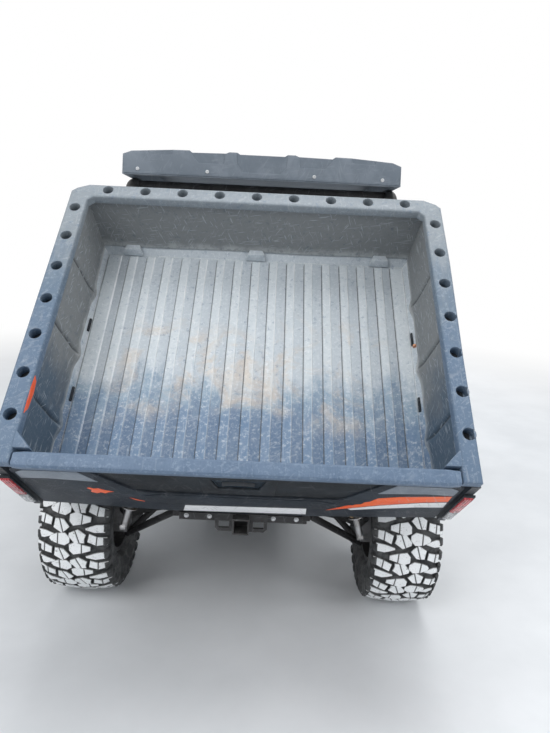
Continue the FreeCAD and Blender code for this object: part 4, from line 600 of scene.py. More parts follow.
        self.lenses = {lens.name: lens for lens in (
            LensFinish("lamp_red", (0.62, 0.03, 0.045), 0.22, 0.1),
            LensFinish("lamp_clear", (0.78, 0.8, 0.82), 0.12, 0.35, slot="lamp_clear"),
        )}
        self.built: dict[str, bpy.types.Material] = {}

    def get(self, name: str) -> bpy.types.Material:
        """Returns a finish's material.

        Args:
            name: The finish's name.

        Returns:
            Its material, built once.
        """
        if name not in self.built:
            finish = self.finishes.get(name) or self.lenses[name]
            self.built[name] = finish.build(self.effects)
        return self.built[name]


# Shapes

def inset(outline: Sequence[Flat], distance: float) -> list[Flat]:
    """Draws an outline in by a distance, or out where the distance is negative.

    Args:
        outline: Its corners, anticlockwise.
        distance: How far each edge moves.

    Returns:
        The new corners.
    """
    count = len(outline)
    area = sum(outline[i][0] * outline[(i + 1) % count][1] - outline[(i + 1) % count][0] * outline[i][1]
               for i in range(count))
    sign = 1.0 if area > 0 else -1.0
    result = []
    for i in range(count):
        before = Vector(outline[i]) - Vector(outline[i - 1])
        after = Vector(outline[(i + 1) % count]) - Vector(outline[i])
        one = Vector((-before.y, before.x)).normalized() * sign
        two = Vector((-after.y, after.x)).normalized() * sign
        middle = one + two
        length = max(middle.length_squared / 2.0, 0.35)
        spot = Vector(outline[i]) + middle * (distance / length)
        result.append((spot.x, spot.y))
    return result


def circle(radius: float, count: int) -> list[Flat]:
    """Returns the points of a circle round the origin, anticlockwise."""
    turns = [2 * math.pi * k / count for k in range(count)]
    return [(radius * math.cos(turn), radius * math.sin(turn)) for turn in turns]


def put(name: str, data: bpy.types.ID) -> bpy.types.Object:
    """Puts a new object of some data in the scene."""
    piece = bpy.data.objects.new(name, data)
    bpy.context.scene.collection.objects.link(piece)
    return piece


def mesh_object(name: str, mesh: bmesh.types.BMesh) -> bpy.types.Object:
    """Makes an object of gathered faces, their normals outward."""
    bmesh.ops.recalc_face_normals(mesh, faces=mesh.faces)
    plain = bpy.data.meshes.new(name)
    mesh.to_mesh(plain)
    mesh.free()
    return put(name, plain)


class Piece:
    """Gathers the faces of one piece, in metres, then makes its object."""

    def __init__(self, name: str, place: Optional[Matrix] = None) -> None:
        """Starts an empty piece.

        Args:
            name: The piece's name.
            place: What its own coordinates are turned and moved by.
        """
        self.name = name
        self.mesh = bmesh.new()
        self.place = place or Matrix.Identity(4)

    def loft(self, rings: Sequence[Sequence[Spot]], ends: bool = True) -> list:
        """Joins closed rings of points by faces.

        Args:
            rings: The rings, each with as many points.
            ends: Whether the first and last ring are filled.

        Returns:
            The faces.
        """
        rows = [[self.mesh.verts.new(point) for point in ring] for ring in rings]
        count = len(rows[0])
        faces = []
        for one, two in zip(rows, rows[1:]):
            for i in range(count):
                j = (i + 1) % count
                faces.append(self.mesh.faces.new((one[i], one[j], two[j], two[i])))
        if ends:
            faces.append(self.mesh.faces.new(list(reversed(rows[0]))))
            faces.append(self.mesh.faces.new(rows[-1]))
        return faces

    def slab(self, plane: Plane, outline: Sequence[Flat], start: float, end: float,
             draft: float = 0.0) -> None:
        """Draws an outline out to a solid.

        Args:
            plane: The coordinates that the outline gives.
            outline: Its corners.
            start: Where the solid starts.
            end: Where it ends.
            draft: How far its end is drawn in.
        """
        rings = []
        for at, points in ((start, outline), (end, inset(outline, draft) if draft else outline)):
            ring = []
            for point in points:
                spot = [at, at, at]
                for axis, part in zip(plane.value, point):
                    spot[axis] = part
                ring.append(tuple(spot))
            rings.append(ring)
        self.loft(rings)

    def block(self, low: Spot, high: Spot) -> None:
        """Adds a box between two corners."""
        outline = [(low[0], low[1]), (high[0], low[1]), (high[0], high[1]), (low[0], high[1])]
        self.slab(Plane.TOP, outline, low[2], high[2])

    def spin(self, profile: Sequence[Flat], steps: int) -> None:
        """Turns a closed profile about the X axis through the piece's origin.

        Args:
            profile: Its points, as place along X and radius.
            steps: How many steps a turn has.
        """
        rings = [[(x, r * a, r * b) for x, r in profile] for a, b in circle(1.0, steps)]
        self.loft(rings + rings[:1], ends=False)
        bmesh.ops.remove_doubles(self.mesh, verts=self.mesh.verts, dist=1e-6)

    def sheet(self, columns: int, rows: int, front: Form, back: Form,
              mark: Optional[Callable[[float, float], float]] = None) -> None:
        """Makes a closed plate whose two faces follow functions.

        Args:
            columns: How many cells it has one way.
            rows: How many it has the other way.
            front: The front face's point at two shares from 0 to 1.
            back: The back face's point.
            mark: How far the front face is rubbed there, or how dark its painted shade is where it is
                negative.
        """
        layer = self.mesh.verts.layers.float.new("rub") if mark else None
        add = self.mesh.faces.new
        grids = [[[self.mesh.verts.new(shape(i / columns, j / rows)) for i in range(columns + 1)]
                  for j in range(rows + 1)] for shape in (front, back)]
        if mark:
            for j, row in enumerate(grids[0]):
                for i, vert in enumerate(row):
                    vert[layer] = mark(i / columns, j / rows)
        for grid, way in zip(grids, (1, -1)):
            for j in range(rows):
                for i in range(columns):
                    add([grid[j][i], grid[j][i + 1], grid[j + 1][i + 1], grid[j + 1][i]][::way])
        border = [(0, i) for i in range(columns)] + [(j, columns) for j in range(rows)]
        border += [(rows, i) for i in range(columns, 0, -1)] + [(j, 0) for j in range(rows, 0, -1)]
        for (j, i), (n, m) in zip(border, border[1:] + border[:1]):
            add((grids[0][n][m], grids[0][j][i], grids[1][j][i], grids[1][n][m]))

    def mirror(self) -> None:
        """Adds the piece's mirror image across the vehicle's middle."""
        whole = list(self.mesh.verts) + list(self.mesh.edges) + list(self.mesh.faces)
        copy = bmesh.ops.duplicate(self.mesh, geom=whole)["geom"]
        points = [part for part in copy if isinstance(part, bmesh.types.BMVert)]
        bmesh.ops.scale(self.mesh, vec=(-1.0, 1.0, 1.0), verts=points)

    def raw(self) -> bpy.types.Object:
        """Makes an object of the piece as it is."""
        return mesh_object(self.name, self.mesh)

    def finish(self, material: bpy.types.Material, body: str, replaces: Sequence[str] = (),
               bevel: float = 0.0, angle: float = 32.0) -> None:
        """Makes the finished object.

        Args:
            material: Its material.
            body: The CAD body that it rides on.
            replaces: The CAD nodes that it stands for.
            bevel: The width of its rounded edges.
            angle: The angle past which an edge is sharp, in degrees.
        """
        piece = self.raw()
        if bevel:
            add_bevel(piece, bevel, 2, angle)
        dress(piece, material, body, replaces, angle, self.place)


def settle(piece: bpy.types.Object) -> None:
    """Turns an object's modifiers into plain mesh."""
    depsgraph = bpy.context.evaluated_depsgraph_get()
    mesh = bpy.data.meshes.new_from_object(piece.evaluated_get(depsgraph))
    piece.modifiers.clear()
    piece.data = mesh


def add_bevel(piece: bpy.types.Object, width: float, segments: int, angle: float) -> None:
    """Rounds an object's edges.

    Args:
        piece: The object.
        width: The rounding's width.
        segments: How many faces it has.
        angle: The least angle of an edge that is rounded, in degrees.
    """
    bevel = piece.modifiers.new("rounding", "BEVEL")
    bevel.width = width
    bevel.segments = segments
    bevel.limit_method = "ANGLE"
    bevel.angle_limit = math.radians(angle)
    settle(piece)


def dress(piece: bpy.types.Object, material: Optional[bpy.types.Material], body: str,
          replaces: Sequence[str] = (), angle: float = 32.0, place: Optional[Matrix] = None) -> None:
    """Gives an object its material, shading, body and the nodes that it stands for.

    Args:
        piece: The object.
        material: Its material, or None where it has one.
        body: The CAD body that it rides on.
        replaces: The CAD nodes that it stands for.
        angle: The angle past which an edge is sharp, in degrees.
        place: What its mesh is turned and moved by.
    """
    if place is not None:
        piece.data.transform(place)
    if material is not None:
        piece.data.materials.clear()
        piece.data.materials.append(material)
    piece.data.polygons.foreach_set("use_smooth", [True] * len(piece.data.polygons))
    piece.data.set_sharp_from_angle(angle=math.radians(angle))
    piece.data.update()
    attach(piece, body)
    if replaces:
        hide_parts(*replaces)
    LOG.info("%s: %d faces on %s", piece.name, len(piece.data.polygons), body)


def cut_plate(name: str, outline: Sequence[Flat], holes: Sequence[Sequence[Flat]], thickness: float,
              rounding: float, hole_rounding: float = 0.0015) -> bpy.types.Object:
    """Makes a plate with holes and rounded edges, lying in X and Y.

    Args:
        name: Its name.
        outline: Its corners.
        holes: The corners of each hole.
        thickness: How thick it is.
        rounding: How wide its rounded edges are.
        hole_rounding: How wide the holes' rounded edges are, as far as the plate's thickness allows.

    Returns:
        The plate as a mesh object, its middle at height 0.
    """
    mesh = bmesh.new()
    rims: tuple[list, list] = ([], [])
    steps = 3
    for points, wanted, way in ((outline, rounding, 1.0), *((hole, hole_rounding, -1.0) for hole in holes)):
        size = min(wanted, thickness * 0.48)
        rows = []
        for level in (1.0, -1.0):
            half = []
            for k in range(steps + 1):
                turn = math.pi / 2 * k / steps
                away = size * (1.0 - math.sin(turn)) * way
                height = level * (thickness / 2 - size * (1.0 - math.cos(turn)))
                half.append([mesh.verts.new((x, y, height)) for x, y in inset(points, away)])
            rows += half if level > 0 else half[::-1]
        count = len(points)
        for one, two in zip(rows, rows[1:]):
            for i in range(count):
                mesh.faces.new((one[i], one[(i + 1) % count], two[(i + 1) % count], two[i]))
        for rim, row in zip(rims, (rows[0], rows[-1])):
            rim += [mesh.edges.get((row[i], row[(i + 1) % count])) for i in range(count)]
    for rim in rims:
        bmesh.ops.triangle_fill(mesh, use_beauty=True, use_dissolve=False, edges=rim)
    return mesh_object(name, mesh)


# Geometry Nodes

class Repeats:
    """The Geometry Nodes trees that make rows, rings, scattered fastenings and coils."""

    def __init__(self) -> None:
        """Builds each tree once."""
        self.row = self.build_row()
        self.scatter = self.build_scatter()
        self.coil = self.build_coil()

    @staticmethod
    def close(tree: Tree, geometry: Socket, given: object, end: Socket) -> Group:
        """Ends a tree in Realize Instances and Set Material."""
        real = tree.add("GeometryNodeRealizeInstances", {0: geometry})
        paint = tree.add("GeometryNodeSetMaterial", {
            "Geometry": real.outputs[0], "Material": given["Material"]})
        tree.feed(end, paint.outputs[0])
        return tree.tree

    def build_row(self) -> Group:
        """Builds the tree that repeats a shape by a step and a turn."""
        tree, given, end = shared_group("repeated_row", "Geometry", Geometry="Geometry", Count=2,
                                        Step="Vector", Turn="Vector", Material="Material")
        line = tree.add("GeometryNodeMeshLine", {"Count": given["Count"], "Offset": given["Step"]},
                        mode="OFFSET")
        index = tree.add("GeometryNodeInputIndex").outputs[0]
        turn = tree.add("ShaderNodeVectorMath", {0: given["Turn"], "Scale": index}, operation="SCALE")
        euler = tree.add("FunctionNodeEulerToRotation", {0: turn.outputs[0]})
        copies = tree.add("GeometryNodeInstanceOnPoints", {
            "Points": line.outputs[0], "Instance": given["Geometry"], "Rotation": euler.outputs[0]})
        return self.close(tree, copies.outputs[0], given, end)

    def build_scatter(self) -> Group:
        """Builds the tree that sets a shape on points, its own up along each point's facing."""
        tree, given, end = shared_group("set_on_points", "Geometry", Geometry="Geometry",
                                        Shape="Object", Size=1.0, Material="Material")
        shape = tree.add("GeometryNodeObjectInfo", {"Object": given["Shape"]})
        facing = tree.add("GeometryNodeInputNamedAttribute", {"Name": "facing"}, data_type="FLOAT_VECTOR")
        align = tree.add("FunctionNodeAlignRotationToVector", {"Vector": facing.outputs["Attribute"]},
                         axis="Z")
        size = tree.add("ShaderNodeCombineXYZ", dict.fromkeys(range(3), given["Size"]))
        copies = tree.add("GeometryNodeInstanceOnPoints", {
            "Points": given["Geometry"], "Instance": shape.outputs["Geometry"], "Rotation": align.outputs[0],
            "Scale": size.outputs[0]})
        return self.close(tree, copies.outputs[0], given, end)

    def build_coil(self) -> Group:
        """Builds the tree that winds a wire to a coil."""
        tree, given, end = shared_group("wound_coil", "Geometry", Geometry="Geometry", Turns=7.0,
                                        Height=0.2, Radius=0.03, Wire=0.006, Material="Material")
        spiral = tree.add("GeometryNodeCurveSpiral", {
            "Resolution": 28, "Rotations": given["Turns"], "Start Radius": given["Radius"],
            "End Radius": given["Radius"], "Height": given["Height"]})
        wire = tree.add("GeometryNodeCurvePrimitiveCircle", {"Resolution": 12, "Radius": given["Wire"]})
        skin = tree.add("GeometryNodeCurveToMesh", {
            "Curve": spiral.outputs[0], "Profile Curve": wire.outputs[0], "Fill Caps": True})
        return self.close(tree, skin.outputs[0], given, end)


def run_tree(piece: bpy.types.Object, tree: Group, **values: object) -> None:
    """Runs a Geometry Nodes tree on an object and keeps the result as plain mesh.

    Args:
        piece: The object.
        tree: The tree.
        values: The tree's inputs by name.
    """
    modifier = piece.modifiers.new("repeats", "NODES")
    modifier.node_group = tree
    for socket in tree.interface.items_tree:
        if socket.in_out == "INPUT" and socket.name in values:
            modifier[socket.identifier] = values[socket.name]
    settle(piece)


def points_of(name: str, spots: Sequence[tuple[Spot, Spot]]) -> bpy.types.Object:
    """Makes an object of loose points, each with the way it faces.

    Args:
        name: Its name.
        spots: Place and facing of each point.

    Returns:
        The object.
    """
    mesh = bpy.data.meshes.new(name)
    mesh.from_pydata([place for place, _ in spots], [], [])
    facing = mesh.attributes.new("facing", "FLOAT_VECTOR", "POINT")
    facing.data.foreach_set("vector", [part for _, way in spots for part in way])
    return put(name, mesh)


class Workshop:
    """What every sub-assembly is made with: the finishes and the repeating trees."""

    def __init__(self, palette: Palette, repeats: Repeats) -> None:
        """Keeps the finishes and trees, and makes the fastenings' shapes."""
        self.palette = palette
        self.repeats = repeats
        self.shapes = {"bolt": self.bolt(), "screw": self.screw()}

    def wear(self, finish: str) -> bpy.types.Material:
        """Returns a finish's material."""
        return self.palette.get(finish)

    @staticmethod
    def bolt() -> bpy.types.Object:
        """Makes a flanged hexagon bolt head 10 mm across, standing on Z."""
        piece = Piece("bolt_shape")
        for radius, low, high, sides in ((0.0076, 0.0, 0.0014, 20), (0.0052, 0.0012, 0.006, 6)):
            piece.slab(Plane.TOP, circle(radius, sides), low, high, 0.0006)
        return piece.raw()

    @staticmethod
    def screw() -> bpy.types.Object:
        """Makes a low round head with a hollow in its middle, standing on Z."""
        piece = Piece("screw_shape")
        steps = ((0.007, 0.0), (0.007, 0.001), (0.0055, 0.0028), (0.003, 0.003), (0.0026, 0.0012))
        piece.loft([[(x, y, height) for x, y in circle(radius, 16)] for radius, height in steps])
        return piece.raw()

    def set_on(self, name: str, shape: str, finish: str, body: str,
               spots: Sequence[tuple[Spot, Spot]], size: float, place: Optional[Matrix] = None) -> None:
        """Sets a shape on points.

        Args:
            name: The piece's name.
            shape: The shape's name.
            finish: The finish's name.
            body: The CAD body that it rides on.
            spots: Place and facing of each.
            size: The shape's scale.
            place: What the result is turned and moved by.
        """
        piece = points_of(name, spots)
        run_tree(piece, self.repeats.scatter, Shape=self.shapes[shape], Size=size,
                 Material=self.palette.get(finish))
        dress(piece, None, body, place=place)

    def clear(self) -> None:
        """Takes the fastenings' pattern shapes out of the scene."""
        for shape in self.shapes.values():
            bpy.data.objects.remove(shape)


# The cargo bed

@dataclass
class CargoBed:
    """The moulded cargo box, set out level from its hinge: floor, ribs, walls, holed rail and lamps."""

    shop: Workshop
    place: Matrix
    half: float = 0.685
    outer: float = 0.709
    rear: float = -0.192
    front: float = 0.905
    front_outer: float = 0.929
    floor_low: float = 0.096
    floor_top: float = 0.120
    under: float = 0.396
    top: float = 0.436
    rail_half: float = 0.745
    mouth_half: float = 0.673
    mouth_front: float = 0.885
    rail_front: float = 0.953
    rail_rear: float = -0.238
    rib_pitch: float = 0.0778
    rib_half: float = 0.0205
    rib_height: float = 0.0048
    rib_count: int = 15
    hole_radius: float = 0.021
    side_hole_x: float = 0.711
    hole_pitch: float = 0.15
    first_hole: float = 0.82
    front_hole_y: float = 0.924
    creases: tuple[tuple[Flat, Flat], ...] = (
        ((0.627, 0.15), (0.607, 0.43)), ((0.325, 0.15), (0.312, 0.43)), ((0.02, 0.15), (0.015, 0.43)),
    )

    def build(self) -> None:
        """Builds and dresses every piece of the bed."""
        self.build_floor()
        self.build_ribs()
        self.build_walls()
        self.build_rail()
        self.build_marks()
        self.build_lamps()

    def build_floor(self) -> None:
        """Builds the floor panel with its sloped edges and the ledge along the front."""
        piece = Piece("bed_floor_panel", self.place)
        piece.block((-self.outer, self.rear, self.floor_low), (self.outer, self.front_outer, self.floor_top))
        for side in Side:
            s = side.value
            edge = [(0.656 * s, self.floor_top - 0.002), (self.half * s, self.floor_top + 0.026),
                    (self.half * s, self.floor_top - 0.002)]
            piece.slab(Plane.REAR, edge, self.rear, self.front)
        ledge = [(0.862, self.floor_top - 0.002), (0.868, self.floor_top + 0.004),
                 (self.front, self.floor_top + 0.034), (self.front, self.floor_top - 0.002)]
        piece.slab(Plane.SIDE, ledge, -self.half, self.half)
        for middle in (-0.545, 0.0, 0.549):
            outline = [(middle - 0.045, 0.858), (middle + 0.045, 0.858), (middle + 0.03, self.front),
                       (middle - 0.03, self.front)]
            piece.slab(Plane.TOP, outline, self.floor_top + 0.004, self.floor_top + 0.042, 0.006)
        piece.finish(self.shop.wear("bed_floor"), "bed", ("bed_liner",), 0.003)

    def rib(self, name: str, middle: float, half: float) -> bpy.types.Object:
        """Makes one floor rib, its ends tapered, its left edge darkened by a painted shadow line and its
        right edge rubbed pale.

        Args:
            name: Its name.
            middle: Where it lies across the bed.
            half: Half its width at its foot.

        Returns:
            The rib, not yet dressed.
        """
        piece = Piece(name)
        mark = piece.mesh.faces.layers.float.new("rub")
        low = self.floor_top - 0.001
        rings = []
        ends = [(self.rear + 0.003, 0.0), (self.rear + 0.009, 1.0)]
        ends += [(self.rear + 0.009 + (0.836 - self.rear) * k / 24, 1.0) for k in range(1, 25)]
        for along, rise in ends + [(0.861, 0.0)]:
            height = self.rib_height * rise
            wave = 0.0008 * noise.noise(Vector((middle * 9.0, along * 7.0, 2.0)))
            rings.append([(middle + across, along, low + rise) for across, rise in (
                (-half, 0.0), (0.0035 - half, height + 0.0006), (0.0065 - half, height + 0.001 + wave),
                (half - 0.0065, height + 0.001 - wave), (half - 0.0035, height + 0.0006), (half, 0.0))])
        faces = piece.loft(rings)
        # Face marks round the rib: the left slope and shoulder get painted shadow (negative), the right
        # shoulder and slope are rubbed pale.
        marks = (-0.9, -0.3, 0.0, 0.75, 0.9, 0.0)
        for number, face in enumerate(faces[:-2]):
            value = marks[number % 6]
            if value > 0.0:
                share = number // 6 / len(rings)
                value *= 0.15 + 0.75 * share + 0.5 * noise.noise(Vector((middle * 31.0, share * 14.0, 0.0)))
            face[mark] = value
        return piece.raw()

    def build_ribs(self) -> None:
        """Builds the floor's ribs."""
        for name, half, count, step in (("bed_floor_ribs", self.rib_half, self.rib_count, self.rib_pitch),
                                        ("bed_edge_ribs", 0.031, 2, 1.252)):
            row = self.rib(name, -step * (count - 1) / 2, half)
            run_tree(row, self.shop.repeats.row, Count=count, Step=(step, 0.0, 0.0),
                     Material=self.shop.wear("bed_rib"))
            dress(row, None, "bed", place=self.place, angle=50)

    @staticmethod
    def groove(place: Vector, start: Flat, end: Flat, width: float) -> float:
        """Returns how deep a crease is at a place, from 0 to 1.

        Args:
            place: The place on the wall.
            start: Where the crease starts.
            end: Where it ends.
            width: Half its width.

        Returns:
            Its depth there.
        """
        one = Vector(start)
        run = Vector(end) - one
        share = max(0.0, min(1.0, (place - one).dot(run) / run.length_squared))
        away = (place - one - run * share).length / width
        return math.exp(-away * away)

    def wall_depth(self, along: float, height: float, seed: float) -> float:
        """Returns how far a side wall stands back, with its creases, foot bumps and dents.

        Args:
            along: The place along the bed.
            height: The height from the hinge.
            seed: Which wall it is.

        Returns:
            The depth in metres.
        """
        spot = Vector((along, height))
        depth = 0.0
        for foot, head in self.creases:
            depth += 0.007 * self.groove(spot, foot, head, 0.008)
            bump = Vector(foot) - Vector((0.0, 0.012))
            depth -= 0.012 * math.exp(-((spot - bump).length / 0.034) ** 2)
        depth += 0.004 * noise.noise(Vector((along * 2.2, height * 3.1, seed)))
        depth += 0.0012 * noise.noise(Vector((along * 11.0, height * 13.0, seed + 4.0)))
        return depth

    def wall_mark(self, along: float, height: float, seed: float) -> float:
        """Returns how far a wall is rubbed, or how dark the painted shade along its creases is where it is
        negative.

        Args:
            along: The place along the bed, or across it on the front wall.
            height: The height from the hinge.
            seed: Which wall it is.

        Returns:
            The mark, from -1 to 1.
        """
        ragged = 0.5 + 0.5 * noise.noise(Vector((along * 16.0, height * 20.0, seed + 7.0)))
        foot = max(0.0, 1.0 - (height - self.floor_top - 0.012) / (0.016 + 0.03 * ragged))
        lip = 0.35 * max(0.0, 1.0 - (self.under - height) / (0.006 + 0.02 * ragged))
        rubbed = foot * (0.35 + 0.65 * ragged) + lip
        # Painted shade: the side walls darken along the middle of each crease.
        if seed < 2.0:
            spot = Vector((along, height))
            rubbed -= 0.85 * max(self.groove(spot, *crease, 0.0045) for crease in self.creases)
        return max(-1.0, min(1.0, rubbed))

    def build_walls(self) -> None:
        """Builds the side walls and the front wall."""
        material = self.shop.wear("bed_wall")
        low = self.floor_top + 0.012
        high = self.under + 0.002
        for side in Side:
            s = side.value

            def inner(u: float, v: float) -> Spot:
                """Returns a point of the wall's inner face."""
                along = self.rear + (self.front - self.rear) * u
                height = low + (high - low) * v
                lean = 0.010 * (1.0 - v)
                return (s * (self.half - lean + self.wall_depth(along, height, s)), along, height)

            def shell(u: float, v: float) -> Spot:
                """Returns a point of the wall's outer face."""
                return (s * self.outer, self.rear + (self.front_outer - self.rear) * u,
                        self.floor_low + (high - self.floor_low) * v)

            def mark(u: float, v: float) -> float:
                """Returns the wall's mark at a point."""
                return self.wall_mark(self.rear + (self.front - self.rear) * u, low + (high - low) * v, s)

            piece = Piece(f"bed_wall_{side.word}", self.place)
            piece.sheet(220, 56, inner, shell, mark)
            piece.finish(material, "bed", ("bed_liner",), angle=40)

        def front_face(u: float, v: float) -> Spot:
            """Returns a point of the front wall's inner face."""
            across = self.half * (2 * u - 1)
            height = low + 0.02 + (high - low - 0.02) * v
            dent = 0.004 * noise.noise(Vector((across * 2.4, height * 3.0, 9.0)))
            return (across, self.front - 0.004 + dent - 0.012 * (1.0 - v), height)

        def front_back(u: float, v: float) -> Spot:
            """Returns a point of the front wall's outer face."""
            return (self.outer * (2 * u - 1), self.front_outer, self.floor_low + (high - self.floor_low) * v)

        def front_mark(u: float, v: float) -> float:
            """Returns the front wall's mark at a point."""
            return 0.6 * self.wall_mark(self.half * (2 * u - 1), low + (high - low) * v - 0.01, 2.5)

        piece = Piece("bed_wall_front", self.place)
        piece.sheet(200, 40, front_face, front_back, front_mark)
        piece.finish(material, "bed", ("bed_liner",), angle=40)

    def holes(self) -> list[list[Flat]]:
        """Returns the outlines of the rail's tie-down holes, each clockwise."""
        spots = []
        for number in range(7):
            along = self.first_hole - self.hole_pitch * number
            spots += [(-self.side_hole_x, along), (self.side_hole_x, along)]
        spots += [(self.hole_pitch * (number - 4), self.front_hole_y) for number in range(9)]
        return [[(x + a, y - b) for a, b in circle(self.hole_radius, 28)] for x, y in spots]

    def build_rail(self) -> None:
        """Builds the holed top rail and its rear gussets."""
        r = self.rail_half
        m = self.mouth_half
        outline = [(-r, self.rail_rear), (-m, self.rail_rear), (-m, self.mouth_front - 0.02),
                   (-m + 0.02, self.mouth_front), (m - 0.02, self.mouth_front), (m, self.mouth_front - 0.02),
                   (m, self.rail_rear), (r - 0.014, self.rail_rear), (r - 0.01, 0.2), (r, 0.62), (r, 0.9134),
                   (0.726, 0.932), (0.679, self.rail_front), (-0.679, self.rail_front), (-0.726, 0.932),
                   (-r, 0.9134)]
        thick = self.top - self.under
        material = self.shop.wear("bed_rail")
        plate = cut_plate("bed_top_rail", outline, self.holes(), thick, 0.007)
        plate.data.transform(Matrix.Translation((0.0, 0.0, self.under + thick / 2)))
        dress(plate, material, "bed", ("bed_liner",), place=self.place)
        corners = Piece("bed_rail_gussets", self.place)
        for s in (-1.0, 1.0):
            outline = [(0.678 * s, -0.13), (0.622 * s, -0.1885), (0.678 * s, -0.1885)]
            corners.slab(Plane.TOP, outline, self.under + 0.001, self.top - 0.001, 0.001)
        corners.finish(material, "bed", ("bed_liner",), 0.003)

    def build_marks(self) -> None:
        """Builds the tape scrap, the slots as near-black blocks of painted shade, and the fastenings inside
        the box.
        """
        tape = Piece("bed_tape_scrap", self.place)
        outline = [(0.062, 0.428), (0.02, 0.4318), (-0.03, 0.431), (-0.072, 0.4295), (-0.05, 0.412),
                   (0.01, 0.404), (0.05, 0.41)]
        tape.slab(Plane.SIDE, outline, -0.6732, -0.6716)
        tape.finish(self.shop.wear("orange_stripe"), "bed")
        # Painted shade: near-black blocks stand for the slots' shaded openings.
        slots = Piece("bed_floor_slots", self.place)
        for x, y in ((-0.662, 0.474), (-0.662, 0.155), (0.662, 0.174), (0.662, 0.474)):
            slots.block((x - 0.004, y - 0.03, self.floor_top), (x + 0.004, y + 0.03, self.floor_top + 0.0125))
        slots.finish(self.shop.wear("gate_dark"), "bed", bevel=0.002)
        self.shop.set_on("bed_floor_bolt", "bolt", "copper_bolt", "bed",
                         [((0.668, 0.44, self.floor_top + 0.0125), (-0.5, 0.0, 0.85))], 1.2, self.place)

    def build_lamps(self) -> None:
        """Builds the tail lamps: a dark housing, a red lens and a clear one below it."""
        rear = -0.2385
        housing = Piece("tail_lamp_housings", self.place)
        shell = [(0.705, 0.075), (0.744, 0.078), (0.745, 0.326), (0.705, 0.33)]
        housing.slab(Plane.REAR, shell, rear, rear - 0.008, 0.001)
        housing.mirror()
        housing.finish(self.shop.wear("gate_dark"), "bed", ("tail_lamps",), 0.0015)
        for name, finish, outline in (
            ("tail_lamp_red", "lamp_red",
             [(0.709, 0.165), (0.742, 0.172), (0.742, 0.318), (0.709, 0.322)]),
            ("tail_lamp_clear", "lamp_clear",
             [(0.709, 0.082), (0.742, 0.088), (0.742, 0.166), (0.709, 0.16)]),
        ):
            lens = Piece(name, self.place)
            lens.slab(Plane.REAR, outline, rear - 0.006, rear - 0.0135, 0.003)
            lens.mirror()
            lens.finish(self.shop.wear(finish), "bed", ("tail_lamps",), 0.002)


# The tailgate

